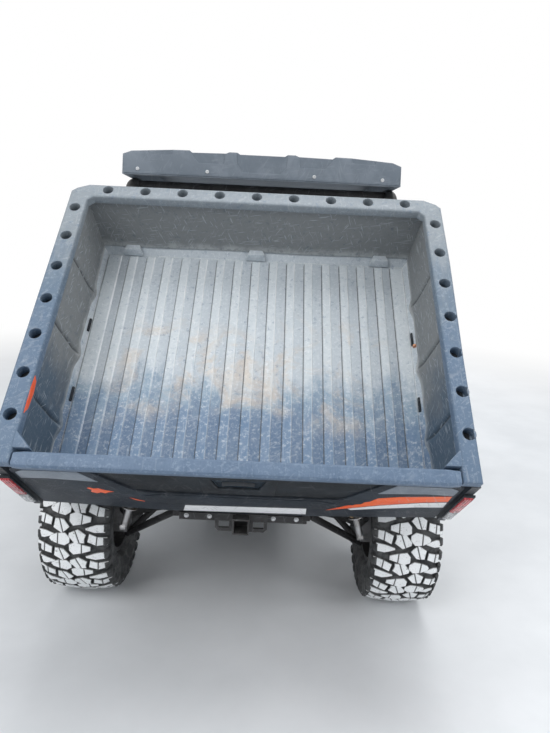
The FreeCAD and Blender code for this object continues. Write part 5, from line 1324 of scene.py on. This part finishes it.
@dataclass
class Tailgate:
    """The gate: board, outer skin with its recess and raised panels, cap, latch pocket and stripes."""

    shop: Workshop
    place: Matrix
    half: float = 0.697
    board_half: float = 0.664
    inner: float = -0.198
    skin: float = -0.225
    top: float = 0.384
    end_low: float = 0.045
    mid_low: float = -0.006
    cap_half: float = 0.668
    mouth: tuple[Flat, ...] = ((-0.088, 0.345), (-0.066, 0.262), (0.066, 0.262), (0.088, 0.345))

    def plate(self, name: str, outline: Sequence[Flat], near: float, far: float, finish: str,
              rounding: float = 0.0015, holes: Sequence[Sequence[Flat]] = ()) -> None:
        """Makes a plate that lies against the gate.

        Args:
            name: Its name.
            outline: Its corners, seen from behind.
            near: Its face towards the bed.
            far: Its outer face.
            finish: The finish's name.
            rounding: How wide its rounded edges are.
            holes: Its holes' corners.
        """
        thick = near - far
        piece = cut_plate(name, outline, holes, thick, min(rounding, thick * 0.45), thick)
        piece.data.transform(Matrix.Translation((0.0, (near + far) / 2, 0.0)) @ UPRIGHT)
        dress(piece, self.shop.wear(finish), "tailgate", ("tailgate_panel",), place=self.place)

    def build(self) -> None:
        """Builds and dresses every piece of the gate."""
        board = Piece("tailgate_board", self.place)
        board.block((-self.board_half, self.skin, 0.112), (self.board_half, self.inner, 0.396))
        board.finish(self.shop.wear("bed_wall"), "tailgate", ("tailgate_panel",), 0.004)
        self.build_skin()
        self.build_cap()
        self.build_latch()
        self.build_stripes()
        self.build_hinges()

    def build_skin(self) -> None:
        """Builds the outer skin: a dark back plate and the raised panels on it."""
        skirt = [(-self.half, self.end_low), (-0.26, self.mid_low), (0.26, self.mid_low),
                 (self.half, self.end_low)]
        low = [(-self.half, 0.115), (self.half, 0.115)]
        body = [(self.half, self.top), (-self.half, self.top)]
        self.plate("tailgate_back_plate", low + body, -0.2245, -0.229, "gate_dark", holes=[self.mouth[::-1]])
        notch = [(self.half, 0.366), (0.69, 0.38), (0.458, 0.382), (0.345, 0.205), (0.27, 0.192)]
        notch += [(-x, z) for x, z in reversed(notch)]
        self.plate("tailgate_raised_panel", skirt + notch, -0.2312, -0.2345, "gate_panel")
        self.plate("tailgate_panel_fill", low + notch, -0.2285, -0.2315, "gate_panel", 0.0005)
        band = [(-0.2, 0.078), (0.2, 0.078), (0.3, 0.104), (0.33, 0.158),
                (0.27, 0.18), (-0.27, 0.18), (-0.33, 0.158), (-0.3, 0.104)]
        self.plate("tailgate_centre_band", band, -0.2340, -0.2368, "gate_panel")
        for side in Side:
            s = side.value
            strake = [(0.49 * s, 0.374), (0.655 * s, 0.372), (0.684 * s, 0.35), (0.684 * s, 0.3),
                      (0.6 * s, 0.306), (0.445 * s, 0.29)]
            self.plate(f"tailgate_strake_{side.word}", strake, -0.2340, -0.2368, "gate_strake")

    def build_cap(self) -> None:
        """Builds the pale cap along the gate's top."""
        piece = Piece("tailgate_top_cap", self.place)
        outline = [(-0.1985, 0.3975), (-0.1985, 0.431), (-0.205, 0.4355), (-0.216, 0.4345), (-0.232, 0.4355),
                   (-0.2405, 0.433), (-0.2465, 0.425), (-0.2468, 0.409), (-0.243, 0.3985), (-0.228, 0.3975)]
        rings = []
        count = 40
        mid_y, mid_z = -0.223, 0.4165
        for k in range(count + 1):
            across = self.cap_half * (2 * k / count - 1)
            ease = 1.0 - max(0.0, (abs(across) - self.cap_half + 0.012) / 0.012) ** 2 * 0.12
            sag = 0.0012 * noise.noise(Vector((across * 5.0, 3.0, 1.0)))
            rings.append([(across, mid_y + (y - mid_y) * ease, mid_z + (z - mid_z) * ease - abs(sag))
                          for y, z in outline])
        piece.loft(rings)
        piece.finish(self.shop.wear("gate_cap"), "tailgate", ("tailgate_cap",), angle=28)

    def build_latch(self) -> None:
        """Builds the latch pocket, its raised frame and the pull handle in it."""
        border = [(-0.124, 0.366), (-0.117, 0.206), (0.117, 0.206), (0.124, 0.366)]
        self.plate("tailgate_latch_frame", border, -0.2285, -0.2325, "gate_dark", 0.002, [self.mouth[::-1]])
        self.plate("tailgate_latch_back", self.mouth, -0.2235, -0.2250, "gate_dark", 0.0004)
        handle = Piece("tailgate_pull_handle", self.place)
        outline = [(-0.2165, 0.288), (-0.2275, 0.288), (-0.2335, 0.282), (-0.2338, 0.272), (-0.229, 0.264),
                   (-0.222, 0.264), (-0.2165, 0.271)]
        rings = []
        for k in range(13):
            across = 0.052 * (k / 6 - 1)
            rise = 0.010 * (1 - (k / 6 - 1) ** 2)
            rings.append([(across, y, z + rise + 0.02) for y, z in outline])
        handle.loft(rings)
        handle.finish(self.shop.wear("body_plastic"), "tailgate", ("tailgate_handle",), 0.002)

    def build_stripes(self) -> None:
        """Builds the orange and white stripes, the blank strip and the scrap of orange at the left."""
        orange = [(0.302, 0.082), (0.34, 0.118), (0.372, 0.15), (0.386, 0.15), (0.392, 0.16), (0.412, 0.168),
                  (0.42, 0.19), (0.436, 0.2), (0.455, 0.238), (0.52, 0.262), (0.683, 0.289), (0.686, 0.234),
                  (0.6, 0.214), (0.47, 0.164), (0.38, 0.118)]
        self.plate("tailgate_orange_stripe", orange, -0.2338, -0.2352, "orange_stripe", 0.0004)
        white = [(0.374, 0.11), (0.47, 0.158), (0.6, 0.207), (0.686, 0.226), (0.689, 0.17), (0.6, 0.158),
                 (0.47, 0.122), (0.386, 0.096)]
        self.plate("tailgate_white_stripe", white, -0.2338, -0.2350, "white_stripe", 0.0004)
        strip = [(-0.205, 0.015), (0.235, 0.03), (0.232, 0.096), (-0.192, 0.078)]
        self.plate("tailgate_blank_strip", strip, -0.2364, -0.2382, "white_stripe", 0.0005)
        scrap = [(-0.5, 0.218), (-0.49, 0.224), (-0.478, 0.215), (-0.462, 0.22), (-0.446, 0.205),
                 (-0.416, 0.19), (-0.436, 0.182), (-0.45, 0.168), (-0.462, 0.178), (-0.478, 0.166),
                 (-0.496, 0.18), (-0.488, 0.2)]
        self.plate("tailgate_orange_scrap", scrap, -0.2338, -0.2350, "orange_stripe", 0.0004)
        sliver = [(-0.376, 0.132), (-0.352, 0.112), (-0.33, 0.098), (-0.331, 0.094), (-0.358, 0.106)]
        self.plate("tailgate_orange_sliver", sliver, -0.2338, -0.2350, "orange_stripe", 0.0003)

    def build_hinges(self) -> None:
        """Builds the hinge sleeves at the gate's foot."""
        piece = Piece("tailgate_hinge_sleeves", self.place)
        for one, two in ((-0.5, -0.56), (0.5, 0.56)):
            before = set(piece.mesh.verts)
            piece.spin([(one, 0.0066), (one, 0.011), (two, 0.011), (two, 0.0066)], 28)
            bmesh.ops.translate(piece.mesh, vec=(0.0, -0.215, 0.1),
                                verts=[vert for vert in piece.mesh.verts if vert not in before])
            piece.block((min(one, two), -0.221, 0.109), (max(one, two), -0.209, 0.114))
        piece.finish(self.shop.wear("frame_paint"), "tailgate", ("tailgate_panel",))


# Wheels

@dataclass
class Wheel:
    """One wheel: its tyre with lugs and sidewall, and the nuts on its rim."""

    shop: Workshop
    body: str
    end: str
    side: Side
    radius: float = 0.343
    pitches: int = 18
    groove: float = 0.014

    def tread(self, across: float) -> float:
        """Returns the radius of the lugs' tops at a place across the tread."""
        far = abs(across)
        if far < 0.07:
            return self.radius - 0.0006 - 0.004 * (far / 0.07) ** 2
        if far < 0.118:
            return self.radius - 0.0046 - 0.0075 * ((far - 0.07) / 0.048) ** 1.5
        return self.radius - 0.0121 - 0.9 * (far - 0.118)

    def lug(self, piece: Piece, outline: Sequence[Flat], mark: object) -> None:
        """Adds one lug to the tread, its top marked for the rubbed finish.

        Args:
            piece: The piece that it goes in.
            outline: Its corners across and round the tread, in metres.
            mark: The face layer of the mark.
        """
        top = inset(outline, 0.0018)
        rings = []
        for points, drop in ((inset(outline, -0.002), self.groove + 0.003), (outline, 0.0018), (top, 0.0)):
            ring = []
            for across, around in points:
                reach = self.tread(across) - drop
                angle = around / self.radius
                ring.append((across, -reach * math.cos(angle), reach * math.sin(angle)))
            rings.append(ring)
        faces = piece.loft(rings)
        faces[-1][mark] = 1.0
        count = len(outline)
        for face in faces[count:2 * count]:
            face[mark] = 0.6

    @staticmethod
    def cut(outline: Sequence[Flat], at: Flat, way: Flat, gap: float) -> list[list[Flat]]:
        """Splits an outline in two along a line, with a gap.

        Args:
            outline: Its corners.
            at: A point of the line.
            way: The line's direction.
            gap: The width left out.

        Returns:
            The two outlines.
        """
        across = Vector((-way[1], way[0])).normalized()
        parts = []
        for sign in (1.0, -1.0):
            kept: list[Flat] = []
            count = len(outline)
            for i in range(count):
                one = Vector(outline[i])
                two = Vector(outline[(i + 1) % count])
                a = sign * (one - Vector(at)).dot(across) - gap / 2
                b = sign * (two - Vector(at)).dot(across) - gap / 2
                if a >= 0:
                    kept.append((one.x, one.y))
                if a * b < 0:
                    spot = one + (two - one) * (a / (a - b))
                    kept.append((spot.x, spot.y))
            if len(kept) > 2:
                parts.append(kept)
        return parts

    def lug_outlines(self) -> list[list[Flat]]:
        """Returns the lugs of one pitch, in metres across and round the tread."""
        blocks = (
            ([(-135, 0), (-99, -4), (-63, -21), (-71, -56), (-99, -43), (-135, -34)], (-98, -20), (0.1, 1.0)),
            ([(-128, 64), (-91, 61), (-56, 50), (-55, 42), (-77, 34), (-96, 28), (-124, 29)], None, None),
            ([(-53, -16), (-13, -16), (9, -45), (7, -58), (-27, -73), (-59, -51), (-52, -31)], (-25, -40),
             (0.35, -1.0)),
            ([(-75, 18), (-43, 28), (-8, 34), (7, 16), (7, -11), (-19, -21), (-43, -11), (-76, -1)], (-41, 8),
             (0.05, 1.0)),
            ([(35, 64), (69, 43), (65, 21), (63, 6), (44, 6), (29, 9), (5, 38), (16, 50)], (38, 34),
             (0.3, -1.0)),
            ([(24, -5), (51, -11), (77, -21), (85, -33), (80, -45), (53, -56), (21, -58), (3, -38), (4, -18)],
             (51, -32), (0.05, 1.0)),
            ([(104, 87), (117, 86), (131, 55), (99, 55), (67, 66), (65, 70), (85, 80)], None, None),
            ([(77, 34), (105, 28), (137, 21), (136, -13), (107, -11), (73, 4)], (105, 8), (0.1, 1.0)),
        )
        result = []
        for outline, at, way in blocks:
            points = [(x * 0.001, v * 0.001) for x, v in outline]
            if at is None:
                result.append(points)
            else:
                result += self.cut(points, (at[0] * 0.001, at[1] * 0.001), way, 0.0028)
        return result

    def build(self) -> None:
        """Builds and dresses the tyre and the rim's fittings."""
        name = f"{self.end}_{self.side.word}"
        node = f"tyre_{name}"
        place = Matrix.Translation(sum(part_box(node), Vector()) / 2)
        if self.side is Side.LEFT:
            place = place @ Matrix.Rotation(math.pi, 4, "Z") @ Matrix.Rotation(math.pi, 4, "X")
        rubber = self.shop.wear("tyre_rubber")
        lugs = Piece(f"tyre_lugs_{name}")
        mark = lugs.mesh.faces.layers.float.new("lug_top")
        for outline in self.lug_outlines():
            self.lug(lugs, outline, mark)
        for sign in (1.0, -1.0):
            for around, width in ((-0.018, 0.03), (0.042, 0.03)):
                self.side_lug(lugs, sign, around * -sign, width)
        ring = lugs.raw()
        run_tree(ring, self.shop.repeats.row, Count=self.pitches,
                 Turn=(2 * math.pi / self.pitches, 0.0, 0.0), Material=rubber)
        dress(ring, None, self.body, (node,), 25, place)
        self.build_carcass(name, node, place, rubber)
        self.build_rim(name, place)

    def side_lug(self, piece: Piece, sign: float, around: float, width: float) -> None:
        """Adds a lug that runs from the shoulder down the sidewall.

        Args:
            piece: The piece that it goes in.
            sign: Which sidewall.
            around: Its middle round the tyre.
            width: Its width.
        """
        rows = ((0.1285, -0.013), (0.1375, -0.028), (0.1388, -0.046), (0.1375, -0.062), (0.134, -0.066))
        rings = []
        for number, (across, drop) in enumerate(rows):
            half = width / 2 * (1.0 - 0.12 * number)
            ring = []
            for shift, back in ((-half - 0.002, 0.012), (-half, 0.0), (half, 0.0), (half + 0.002, 0.012)):
                reach = self.radius + drop - back * 0.6
                angle = (around + shift) / self.radius
                ring.append((sign * (across - back * 0.7), -reach * math.cos(angle), reach * math.sin(angle)))
            rings.append(ring)
        piece.loft(rings)

    def build_carcass(self, name: str, node: str, place: Matrix, rubber: bpy.types.Material) -> None:
        """Builds the tyre's body, from bead to bead.

        Args:
            name: The wheel's name.
            node: The CAD node that it stands for.
            place: Where it goes.
            rubber: Its material.
        """
        bead = 0.178
        half = [(x, self.radius - drop) for x, drop in (
            (0.0, 0.015), (0.05, 0.017), (0.1, 0.023), (0.122, 0.032), (0.131, 0.046), (0.1335, 0.066),
            (0.1345, 0.085), (0.1375, 0.089), (0.1378, 0.096), (0.1345, 0.1), (0.132, 0.115), (0.126, 0.132),
            (0.1275, 0.136), (0.121, 0.143))] + [(0.107, 0.193), (0.099, 0.189), (0.093, bead)]
        inner = [(0.08, bead), (0.085, 0.196), (0.11, 0.215), (0.122, 0.25), (0.115, 0.29), (0.09, 0.312),
                 (0.0, 0.32)]
        profile = half + inner + [(-x, r) for x, r in reversed(half[1:] + inner[:-1])]
        piece = Piece(f"tyre_carcass_{name}", place)
        piece.spin(profile, 120)
        piece.finish(rubber, self.body, (node,), angle=30)

    def build_rim(self, name: str, place: Matrix) -> None:
        """Builds the wheel nuts on the CAD rim."""
        face, reach = 0.047, 0.055
        turns = [math.pi / 2 * k + math.pi / 4 for k in range(4)]
        spots = [((face, reach * math.cos(turn), reach * math.sin(turn)), (1.0, 0.0, 0.0)) for turn in turns]
        if self.side is Side.LEFT:
            place = Matrix.Translation(place.translation) @ MIRROR
        self.shop.set_on(f"wheel_nuts_{name}", "bolt", "bare_steel", self.body, spots, 1.9, place)


# Springs

@dataclass
class Springs:
    """The coil springs on the four dampers."""

    shop: Workshop
    radius: float = 0.027
    wire: float = 0.0058
    turns: float = 7.0
    over: float = 0.008

    def build(self) -> None:
        """Builds a pair of springs at each axle, each wound along its damper."""
        node = frame["nodes"]["springs"]
        material = self.shop.wear("spring_paint")
        for end, forward in (("rear", False), ("front", True)):
            for side in Side:
                spots = [vert.co for vert in node.data.vertices
                         if (vert.co.y > 0) == forward and vert.co.x * side.value > 0]
                high = max(spot.z for spot in spots)
                low = min(spot.z for spot in spots)
                head = self.middle([spot for spot in spots if spot.z > high - 0.03])
                foot = self.middle([spot for spot in spots if spot.z < low + 0.03])
                self.wind(f"spring_{end}_{side.word}", foot, head, material)

    @staticmethod
    def middle(spots: Sequence[Vector]) -> Vector:
        """Returns the middle of the box round some points."""
        low = Vector([min(spot[i] for spot in spots) for i in range(3)])
        high = Vector([max(spot[i] for spot in spots) for i in range(3)])
        return (low + high) / 2

    def wind(self, name: str, foot: Vector, head: Vector, material: bpy.types.Material) -> None:
        """Winds one spring.

        Args:
            name: Its name.
            foot: The middle of its lowest turn.
            head: The middle of its highest turn.
            material: Its material.
        """
        along = head - foot
        piece = put(name, bpy.data.meshes.new(name))
        run_tree(piece, self.shop.repeats.coil, Turns=self.turns, Height=along.length + 2 * self.over,
                 Radius=self.radius, Wire=self.wire, Material=material)
        turn = along.to_track_quat("Z", "Y").to_matrix().to_4x4()
        place = Matrix.Translation(foot - along.normalized() * self.over) @ turn
        dress(piece, None, "root", ("springs",), 60, place)


# The roof

@dataclass
class Roof:
    """The moulded roof's rear face: raised frames round its recessed panels, and four pale screws."""

    shop: Workshop
    face: float = -0.3046
    relief: float = 0.005
    half_outline: tuple[Flat, ...] = (
        (0.69, 1.851), (0.6935, 1.937), (0.651, 1.9545), (0.572, 1.9605), (0.563, 1.94), (0.452, 1.945),
        (0.443, 1.9675), (0.366, 1.9685), (0.318, 1.912), (0.19, 1.912), (0.186, 1.953), (0.165, 1.9685),
        (0.128, 1.9685), (0.123, 1.912), (0.095, 1.877),
    )
    screws: tuple[float, ...] = (-0.6216, -0.2735, 0.263, 0.6055)
    screw_height: float = 1.872

    def build(self) -> None:
        """Builds the frames and the screws."""
        outline = list(self.half_outline) + [(-x, z) for x, z in reversed(self.half_outline)]
        plate = cut_plate("roof_rear_frames", outline, [], self.relief, 0.0018)
        plate.data.transform(Matrix.Translation((0.0, self.face - self.relief / 2 + 0.0005, 0.0)) @ UPRIGHT)
        dress(plate, self.shop.wear("roof_plastic"), "root")
        spots = [((x, self.face - self.relief, self.screw_height), (0.0, -1.0, 0.0)) for x in self.screws]
        self.shop.set_on("roof_rear_screws", "screw", "pale_screw", "root", spots, 1.3)


# The nose and the dash

@dataclass
class Nose:
    """The moulded hood with its raised middle and vents, the headlamps' frames and the dash's panels."""

    shop: Workshop
    profile: tuple[Flat, ...] = ((0.878, 1.066), (1.238, 1.010), (1.517, 0.898), (1.577, 0.872))
    half: float = 0.47
    skin: float = 0.021
    crease_back: float = 0.33
    crease_front: float = 0.23
    vent_pitch: float = 0.022
    vents: int = 5

    def top(self, y: float) -> float:
        """Returns the hood's height at a place along the vehicle."""
        for (y0, z0), (y1, z1) in zip(self.profile, self.profile[1:]):
            if y <= y1:
                return z0 + (z1 - z0) * (y - y0) / (y1 - y0)
        return self.profile[-1][1]

    def drop(self, x: float, along: float) -> float:
        """Returns how far the hood lies under its middle's height.

        Args:
            x: The place across the vehicle.
            along: The share of the hood's length.

        Returns:
            The drop in metres.
        """
        crease = self.crease_back + (self.crease_front - self.crease_back) * along
        out = abs(x) - crease
        side = 0.007 / (1.0 + math.exp(-out / 0.004))
        edge = max(0.0, (abs(x) - self.half + 0.03) / 0.03)
        seam = 0.004 * math.exp(-((abs(x) - self.half + 0.045) / 0.004) ** 2)
        return side + seam + 0.006 * edge * edge

    def build(self) -> None:
        """Builds the hood, its vents, the lamps' frames and the dash's panels."""
        start, end = self.profile[0][0], self.profile[-1][0]
        hood = Piece("hood_skin")
        hood.sheet(120, 40, lambda u, v: self.point(u, v, start, end),
                   lambda u, v: self.point(u, v, start, end, True))
        hood.finish(self.shop.wear("hood_plastic"), "root", ("hood",), angle=40)
        vents = Piece("hood_vents")
        for s in (-1.0, 1.0):
            for number in range(self.vents):
                y = 0.985 + number * self.vent_pitch
                x, z = s * (0.20 - 0.004 * number), self.top(y) + 0.0005
                vents.block((x - 0.062, y - 0.006, z - 0.006), (x + 0.062, y + 0.006, z + 0.0022))
        vents.finish(self.shop.wear("gate_dark"), "root", bevel=0.001)
        lean = UPRIGHT @ Matrix.Rotation(math.atan2(0.022, 0.07), 4, "X")
        for side in Side:
            s = side.value
            outline, hole = ([(s * x, z) for x, z in ((near, -high), (far, -high), (far, high), (near, high))]
                             for near, far, high in ((0.19, 0.402, 0.047), (0.207, 0.384, 0.034)))
            border = cut_plate(f"headlamp_frame_{side.word}", outline, [hole], 0.012, 0.004, 0.003)
            border.data.transform(Matrix.Translation((0.0, 1.595, 0.80)) @ lean)
            dress(border, self.shop.wear("gate_dark"), "root")
        lean = Matrix.Translation((0.0, 0.6365, 0.9205)) @ Matrix.Rotation(math.atan2(0.143, 0.101), 4, "X")
        panels = {
            "dash_glove_lid": [(0.2, -0.06), (0.56, -0.06), (0.58, 0.06), (0.2, 0.06)],
            "dash_middle": [(-0.12, -0.066), (0.12, -0.066), (0.14, 0.07), (-0.14, 0.07)],
        }
        for name, outline in panels.items():
            lid = cut_plate(name, outline, [], 0.008, 0.003)
            lid.data.transform(lean)
            dress(lid, self.shop.wear("floor_plastic"), "root")

    def point(self, u: float, v: float, start: float, end: float, under: bool = False) -> Spot:
        """Returns a point of the hood's skin.

        Args:
            u: The share of its width.
            v: The share of its length.
            start: Where it starts along the vehicle.
            end: Where it ends.
            under: True for its underside.

        Returns:
            The point.
        """
        x, y = (2 * u - 1) * self.half, start + (end - start) * v
        top = self.top(y)
        return x, y, top - (self.skin if under else self.drop(x, v))


# The seats

@dataclass
class Seats:
    """The two padded places of the bench: cushions and backs, swelled by a cloth simulation."""

    shop: Workshop
    gap: float = 0.006
    shrink: float = 0.010
    lifts: tuple[float, float] = (0.004, 0.010)
    cap: float = 0.022

    def build(self) -> None:
        """Builds both places' cushions and backs."""
        for kind, lift in zip(("cushion", "back"), self.lifts):
            low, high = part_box(f"seat_{kind}")
            shape = self.pad(f"seat_{kind}_right", kind,
                             (self.gap / 2 + self.shrink, low.y + self.shrink, low.z + lift),
                             (high.x - self.shrink, high.y - self.shrink, high.z - self.shrink))
            other = put(f"seat_{kind}_left", shape.data.copy())
            other.data.transform(MIRROR)
            other.data.flip_normals()
            for piece in (shape, other):
                dress(piece, self.shop.wear("seat_vinyl"), "root", (f"seat_{kind}",), 70)

    def pad(self, name: str, kind: str, low: Spot, high: Spot) -> bpy.types.Object:
        """Makes one padded piece.

        Args:
            name: Its name.
            kind: cushion or back.
            low: The low corner of its starting shape.
            high: The high corner.

        Returns:
            The piece, not yet dressed.
        """
        piece = Piece(name)
        piece.block(low, high)
        shape = piece.raw()
        add_bevel(shape, 0.028, 3, 32.0)
        remesh = shape.modifiers.new("voxels", "REMESH")
        remesh.mode = "VOXEL"
        remesh.voxel_size = 0.006
        settle(shape)
        self.swell(shape)
        middle = [(a + b) / 2 for a, b in zip(low, high)]
        self.sew(shape, kind, middle, low, high)
        return shape

    def swell(self, shape: bpy.types.Object) -> None:
        """Blows a pad up by a cloth simulation and keeps the result, no point moved past the cap."""
        before = [vert.co.copy() for vert in shape.data.vertices]
        cloth = shape.modifiers.new("swelling", "CLOTH")
        cloth.settings.quality = 4
        cloth.settings.use_pressure = True
        cloth.settings.uniform_pressure_force = 4.0
        cloth.settings.effector_weights.gravity = 0.0
        cloth.point_cache.frame_start = 1
        cloth.point_cache.frame_end = 20
        scene = bpy.context.scene
        for number in range(1, 21):
            scene.frame_set(number)
        depsgraph = bpy.context.evaluated_depsgraph_get()
        swollen = [vert.co.copy() for vert in shape.evaluated_get(depsgraph).data.vertices]
        shape.modifiers.clear()
        for vert, start, end in zip(shape.data.vertices, before, swollen):
            move = end - start
            vert.co = start + move * min(1.0, self.cap / max(move.length, 1e-9))
        scene.frame_set(1)

    @staticmethod
    def sew(shape: bpy.types.Object, kind: str, middle: Sequence[float], low: Spot, high: Spot) -> None:
        """Presses the sewn channels into a pad's face and keeps its foot flat.

        Args:
            shape: The pad.
            kind: cushion or back.
            middle: Its middle.
            low: Its low corner.
            high: Its high corner.
        """
        shape.data.update()
        face, run = (2, 1) if kind == "cushion" else (1, 2)
        for vert in shape.data.vertices:
            if kind == "cushion":
                vert.co.z = max(vert.co.z, low[2] - 0.003)
            if vert.normal[face] < 0.35:
                continue
            across = abs(abs(vert.co.x - middle[0]) - 0.15)
            along = abs(vert.co[run] - (low[run] + (high[run] - low[run]) * 0.72))
            inside = 1.0 if abs(vert.co.x - middle[0]) < 0.152 else 0.0
            depth = 0.008 * math.exp(-(across / 0.006) ** 2)
            depth += 0.007 * inside * math.exp(-(along / 0.006) ** 2)
            vert.co[face] -= depth + 0.0012 * noise.noise(vert.co * 9.0)


# The tow hitch and the suspension's fastenings

@dataclass
class Fastenings:
    """The bolts that show under the gate: at the hitch and at the arms' pivots."""

    shop: Workshop

    def build(self) -> None:
        """Sets every bolt."""
        low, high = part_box("hitch_receiver")
        rear = (0.0, -1.0, 0.0)
        bar = low.y + 0.0485
        spots = [((x, bar, high.z - 0.020), rear) for x in (-0.122, 0.122, -0.21, 0.21)]
        self.shop.set_on("hitch_bolts", "bolt", "pale_screw", "root", spots, 1.3)
        arms = [((0.232 * s, -1.098, 0.427), rear) for s in (-1.0, 1.0)]
        self.shop.set_on("arm_pivot_bolts", "bolt", "pale_screw", "root", arms, 1.4)


# What keeps its CAD shape

@dataclass(frozen=True)
class Carried:
    """The CAD nodes that keep their shape, and their finishes."""

    finishes: tuple[tuple[str, tuple[str, ...]], ...] = (
        ("frame_paint", ("frame_ladder", "frame_rear", "skid_plate", "cage", "suspension_arms", "bed_frame",
                         "front_bumper", "strut_bracket", "hitch_receiver", "steering_column")),
        ("cast_metal", ("drive_train", "rear_knuckles", "front_knuckle_left", "front_knuckle_right",
                        "steering_rack", "radiator")),
        ("bare_steel", ("dampers", "tie_rods", "lift_rod", "muffler")),
        ("boot_rubber", ("half_shafts", "lift_barrel", "steering_wheel")),
        ("roof_plastic", ("roof",)),
        ("body_plastic", ("bed_skins", "dash", "front_fenders", "front_fascia", "seat_base")),
        ("gate_dark", ("grille",)),
        ("lamp_clear", ("headlamps",)),
        ("floor_plastic", ("floor_tub",)),
        ("rim_paint", ("rim_front_left", "rim_front_right", "rim_rear_left", "rim_rear_right")),
    )

    def build(self, palette: Palette) -> None:
        """Gives each node its finish."""
        for finish, names in self.finishes:
            for name in names:
                mesh = frame["nodes"][name].data
                mesh.materials.clear()
                mesh.materials.append(palette.get(finish))
                LOG.info("%s: %s", name, finish)


# The studio

@dataclass
class Studio:
    """The floor, the lights, the white surround and the camera at the photograph's place."""

    eye: Spot = (0.0824, -3.1693, 1.512)
    down: float = 12.22
    yaw: float = 0.57
    roll: float = 2.69
    focal: float = 542.9
    sensor: float = 36.0

    def build(self) -> None:
        """Builds the studio."""
        self.build_camera()
        self.build_floor()
        self.build_lights()
        self.build_world()
        bpy.context.scene.view_settings.view_transform = "Standard"

    def build_camera(self) -> None:
        """Places the camera where the photograph was taken."""
        pitch, yaw, roll = (math.radians(angle) for angle in (self.down, self.yaw, self.roll))
        ahead = Vector((math.sin(yaw) * math.cos(pitch), math.cos(yaw) * math.cos(pitch), -math.sin(pitch)))
        right = Vector((math.cos(yaw), -math.sin(yaw), 0.0))
        up = right.cross(ahead)
        across = right * math.cos(roll) + up * math.sin(roll)
        above = up * math.cos(roll) - right * math.sin(roll)
        data = bpy.data.cameras.new("photograph_camera")
        data.sensor_width = self.sensor
        data.lens = self.focal / PHOTO_HEIGHT * self.sensor
        camera = put("photograph_camera", data)
        turn = Matrix((across, above, -ahead)).transposed().to_4x4()
        camera.matrix_world = Matrix.Translation(self.eye) @ turn
        bpy.context.scene.camera = camera

    def build_floor(self) -> None:
        """Lays the plain pale floor."""
        piece = Piece("studio_floor")
        piece.block((-30.0, -30.0, -0.05), (30.0, 30.0, 0.0))
        floor = piece.raw()
        material, tree, shader = new_material("studio_floor", "floor")
        spot = tree.add("ShaderNodeTexCoord").outputs["Object"]
        cloud = tree.spread(tree.speckle(spot, 1.2, 5.0), 0.3, 0.7)
        colour = tree.blend(cloud, (0.7, 0.72, 0.74), (0.78, 0.8, 0.82))
        tree.fill(shader, {"Base Color": colour, "Roughness": 0.85})
        away = tree.add("ShaderNodeVectorMath", {0: spot}, operation="LENGTH").outputs["Value"]
        seen = tree.add("ShaderNodeLightPath").outputs["Is Camera Ray"]
        share = tree.times(tree.spread(away, 2.2, 7.5), seen)
        white = tree.add("ShaderNodeEmission", {"Color": (1.0, 1.0, 1.0)})
        mix = tree.add("ShaderNodeMixShader", {0: share, 1: shader.outputs[0], 2: white.outputs[0]})
        tree.fill(material.node_tree.nodes["Material Output"], {"Surface": mix.outputs[0]})
        floor.data.materials.append(material)

    def build_lights(self) -> None:
        """Hangs the soft lights."""
        for name, place, aim, size, power in (
            ("key_light", (-3.0, -5.2, 4.6), (0.0, -0.8, 0.9), 3.2, 170.0),
            ("top_light", (0.6, -0.6, 5.6), (0.0, -0.6, 0.8), 4.0, 150.0),
            ("fill_light", (4.2, -3.6, 2.6), (0.0, -0.6, 0.9), 3.0, 60.0),
            ("front_light", (1.5, 5.2, 3.8), (0.0, 0.6, 0.9), 3.2, 120.0),
        ):
            data = bpy.data.lights.new(name, "AREA")
            data.size = size
            data.energy = power
            lamp = put(name, data)
            way = Vector(aim) - Vector(place)
            lamp.matrix_world = Matrix.Translation(place) @ way.to_track_quat("-Z", "Y").to_matrix().to_4x4()

    def build_world(self) -> None:
        """Makes the soft surround, seen as plain white."""
        world = bpy.data.worlds.new("studio_surround")
        bpy.context.scene.world = world
        world.use_nodes = True
        tree = Tree(world.node_tree)
        world.node_tree.nodes.clear()
        path = tree.add("ShaderNodeLightPath").outputs
        seen = tree.maths("MAXIMUM", path["Is Camera Ray"], path["Is Transmission Ray"])
        seen = tree.maths("MAXIMUM", seen, tree.times(path["Is Glossy Ray"], 0.35))
        light = tree.add("ShaderNodeBackground", {"Color": (0.93, 0.96, 1.0), "Strength": 0.5})
        white = tree.add("ShaderNodeBackground", {"Color": (1.0, 1.0, 1.0)})
        mix = tree.add("ShaderNodeMixShader", {0: seen, 1: light.outputs[0], 2: white.outputs[0]})
        tree.add("ShaderNodeOutputWorld", {0: mix.outputs[0]})


def main() -> None:
    """Builds the vehicle's looks in order."""
    logging.basicConfig(level=logging.INFO, format="%(name)s %(message)s")
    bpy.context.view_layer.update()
    joint = next(joint for joint in frame["joints"] if joint["name"] == "bed_tilt")
    hinge = Vector(joint["pos_m"])
    tilt = math.radians(max(joint["range_deg"]))
    bed_place = Matrix.Translation(hinge) @ Matrix.Rotation(tilt, 4, "X")
    palette = Palette(Effects(), hinge, tilt)
    shop = Workshop(palette, Repeats())
    Studio().build()
    Carried().build(palette)
    CargoBed(shop, bed_place).build()
    Tailgate(shop, bed_place).build()
    for end in ("rear", "front"):
        for side in Side:
            Wheel(shop, f"wheel_{end}_{side.word}", end, side).build()
    Springs(shop).build()
    Roof(shop).build()
    Nose(shop).build()
    Seats(shop).build()
    Fastenings(shop).build()
    shop.clear()


if __name__ == "__main__":
    main()
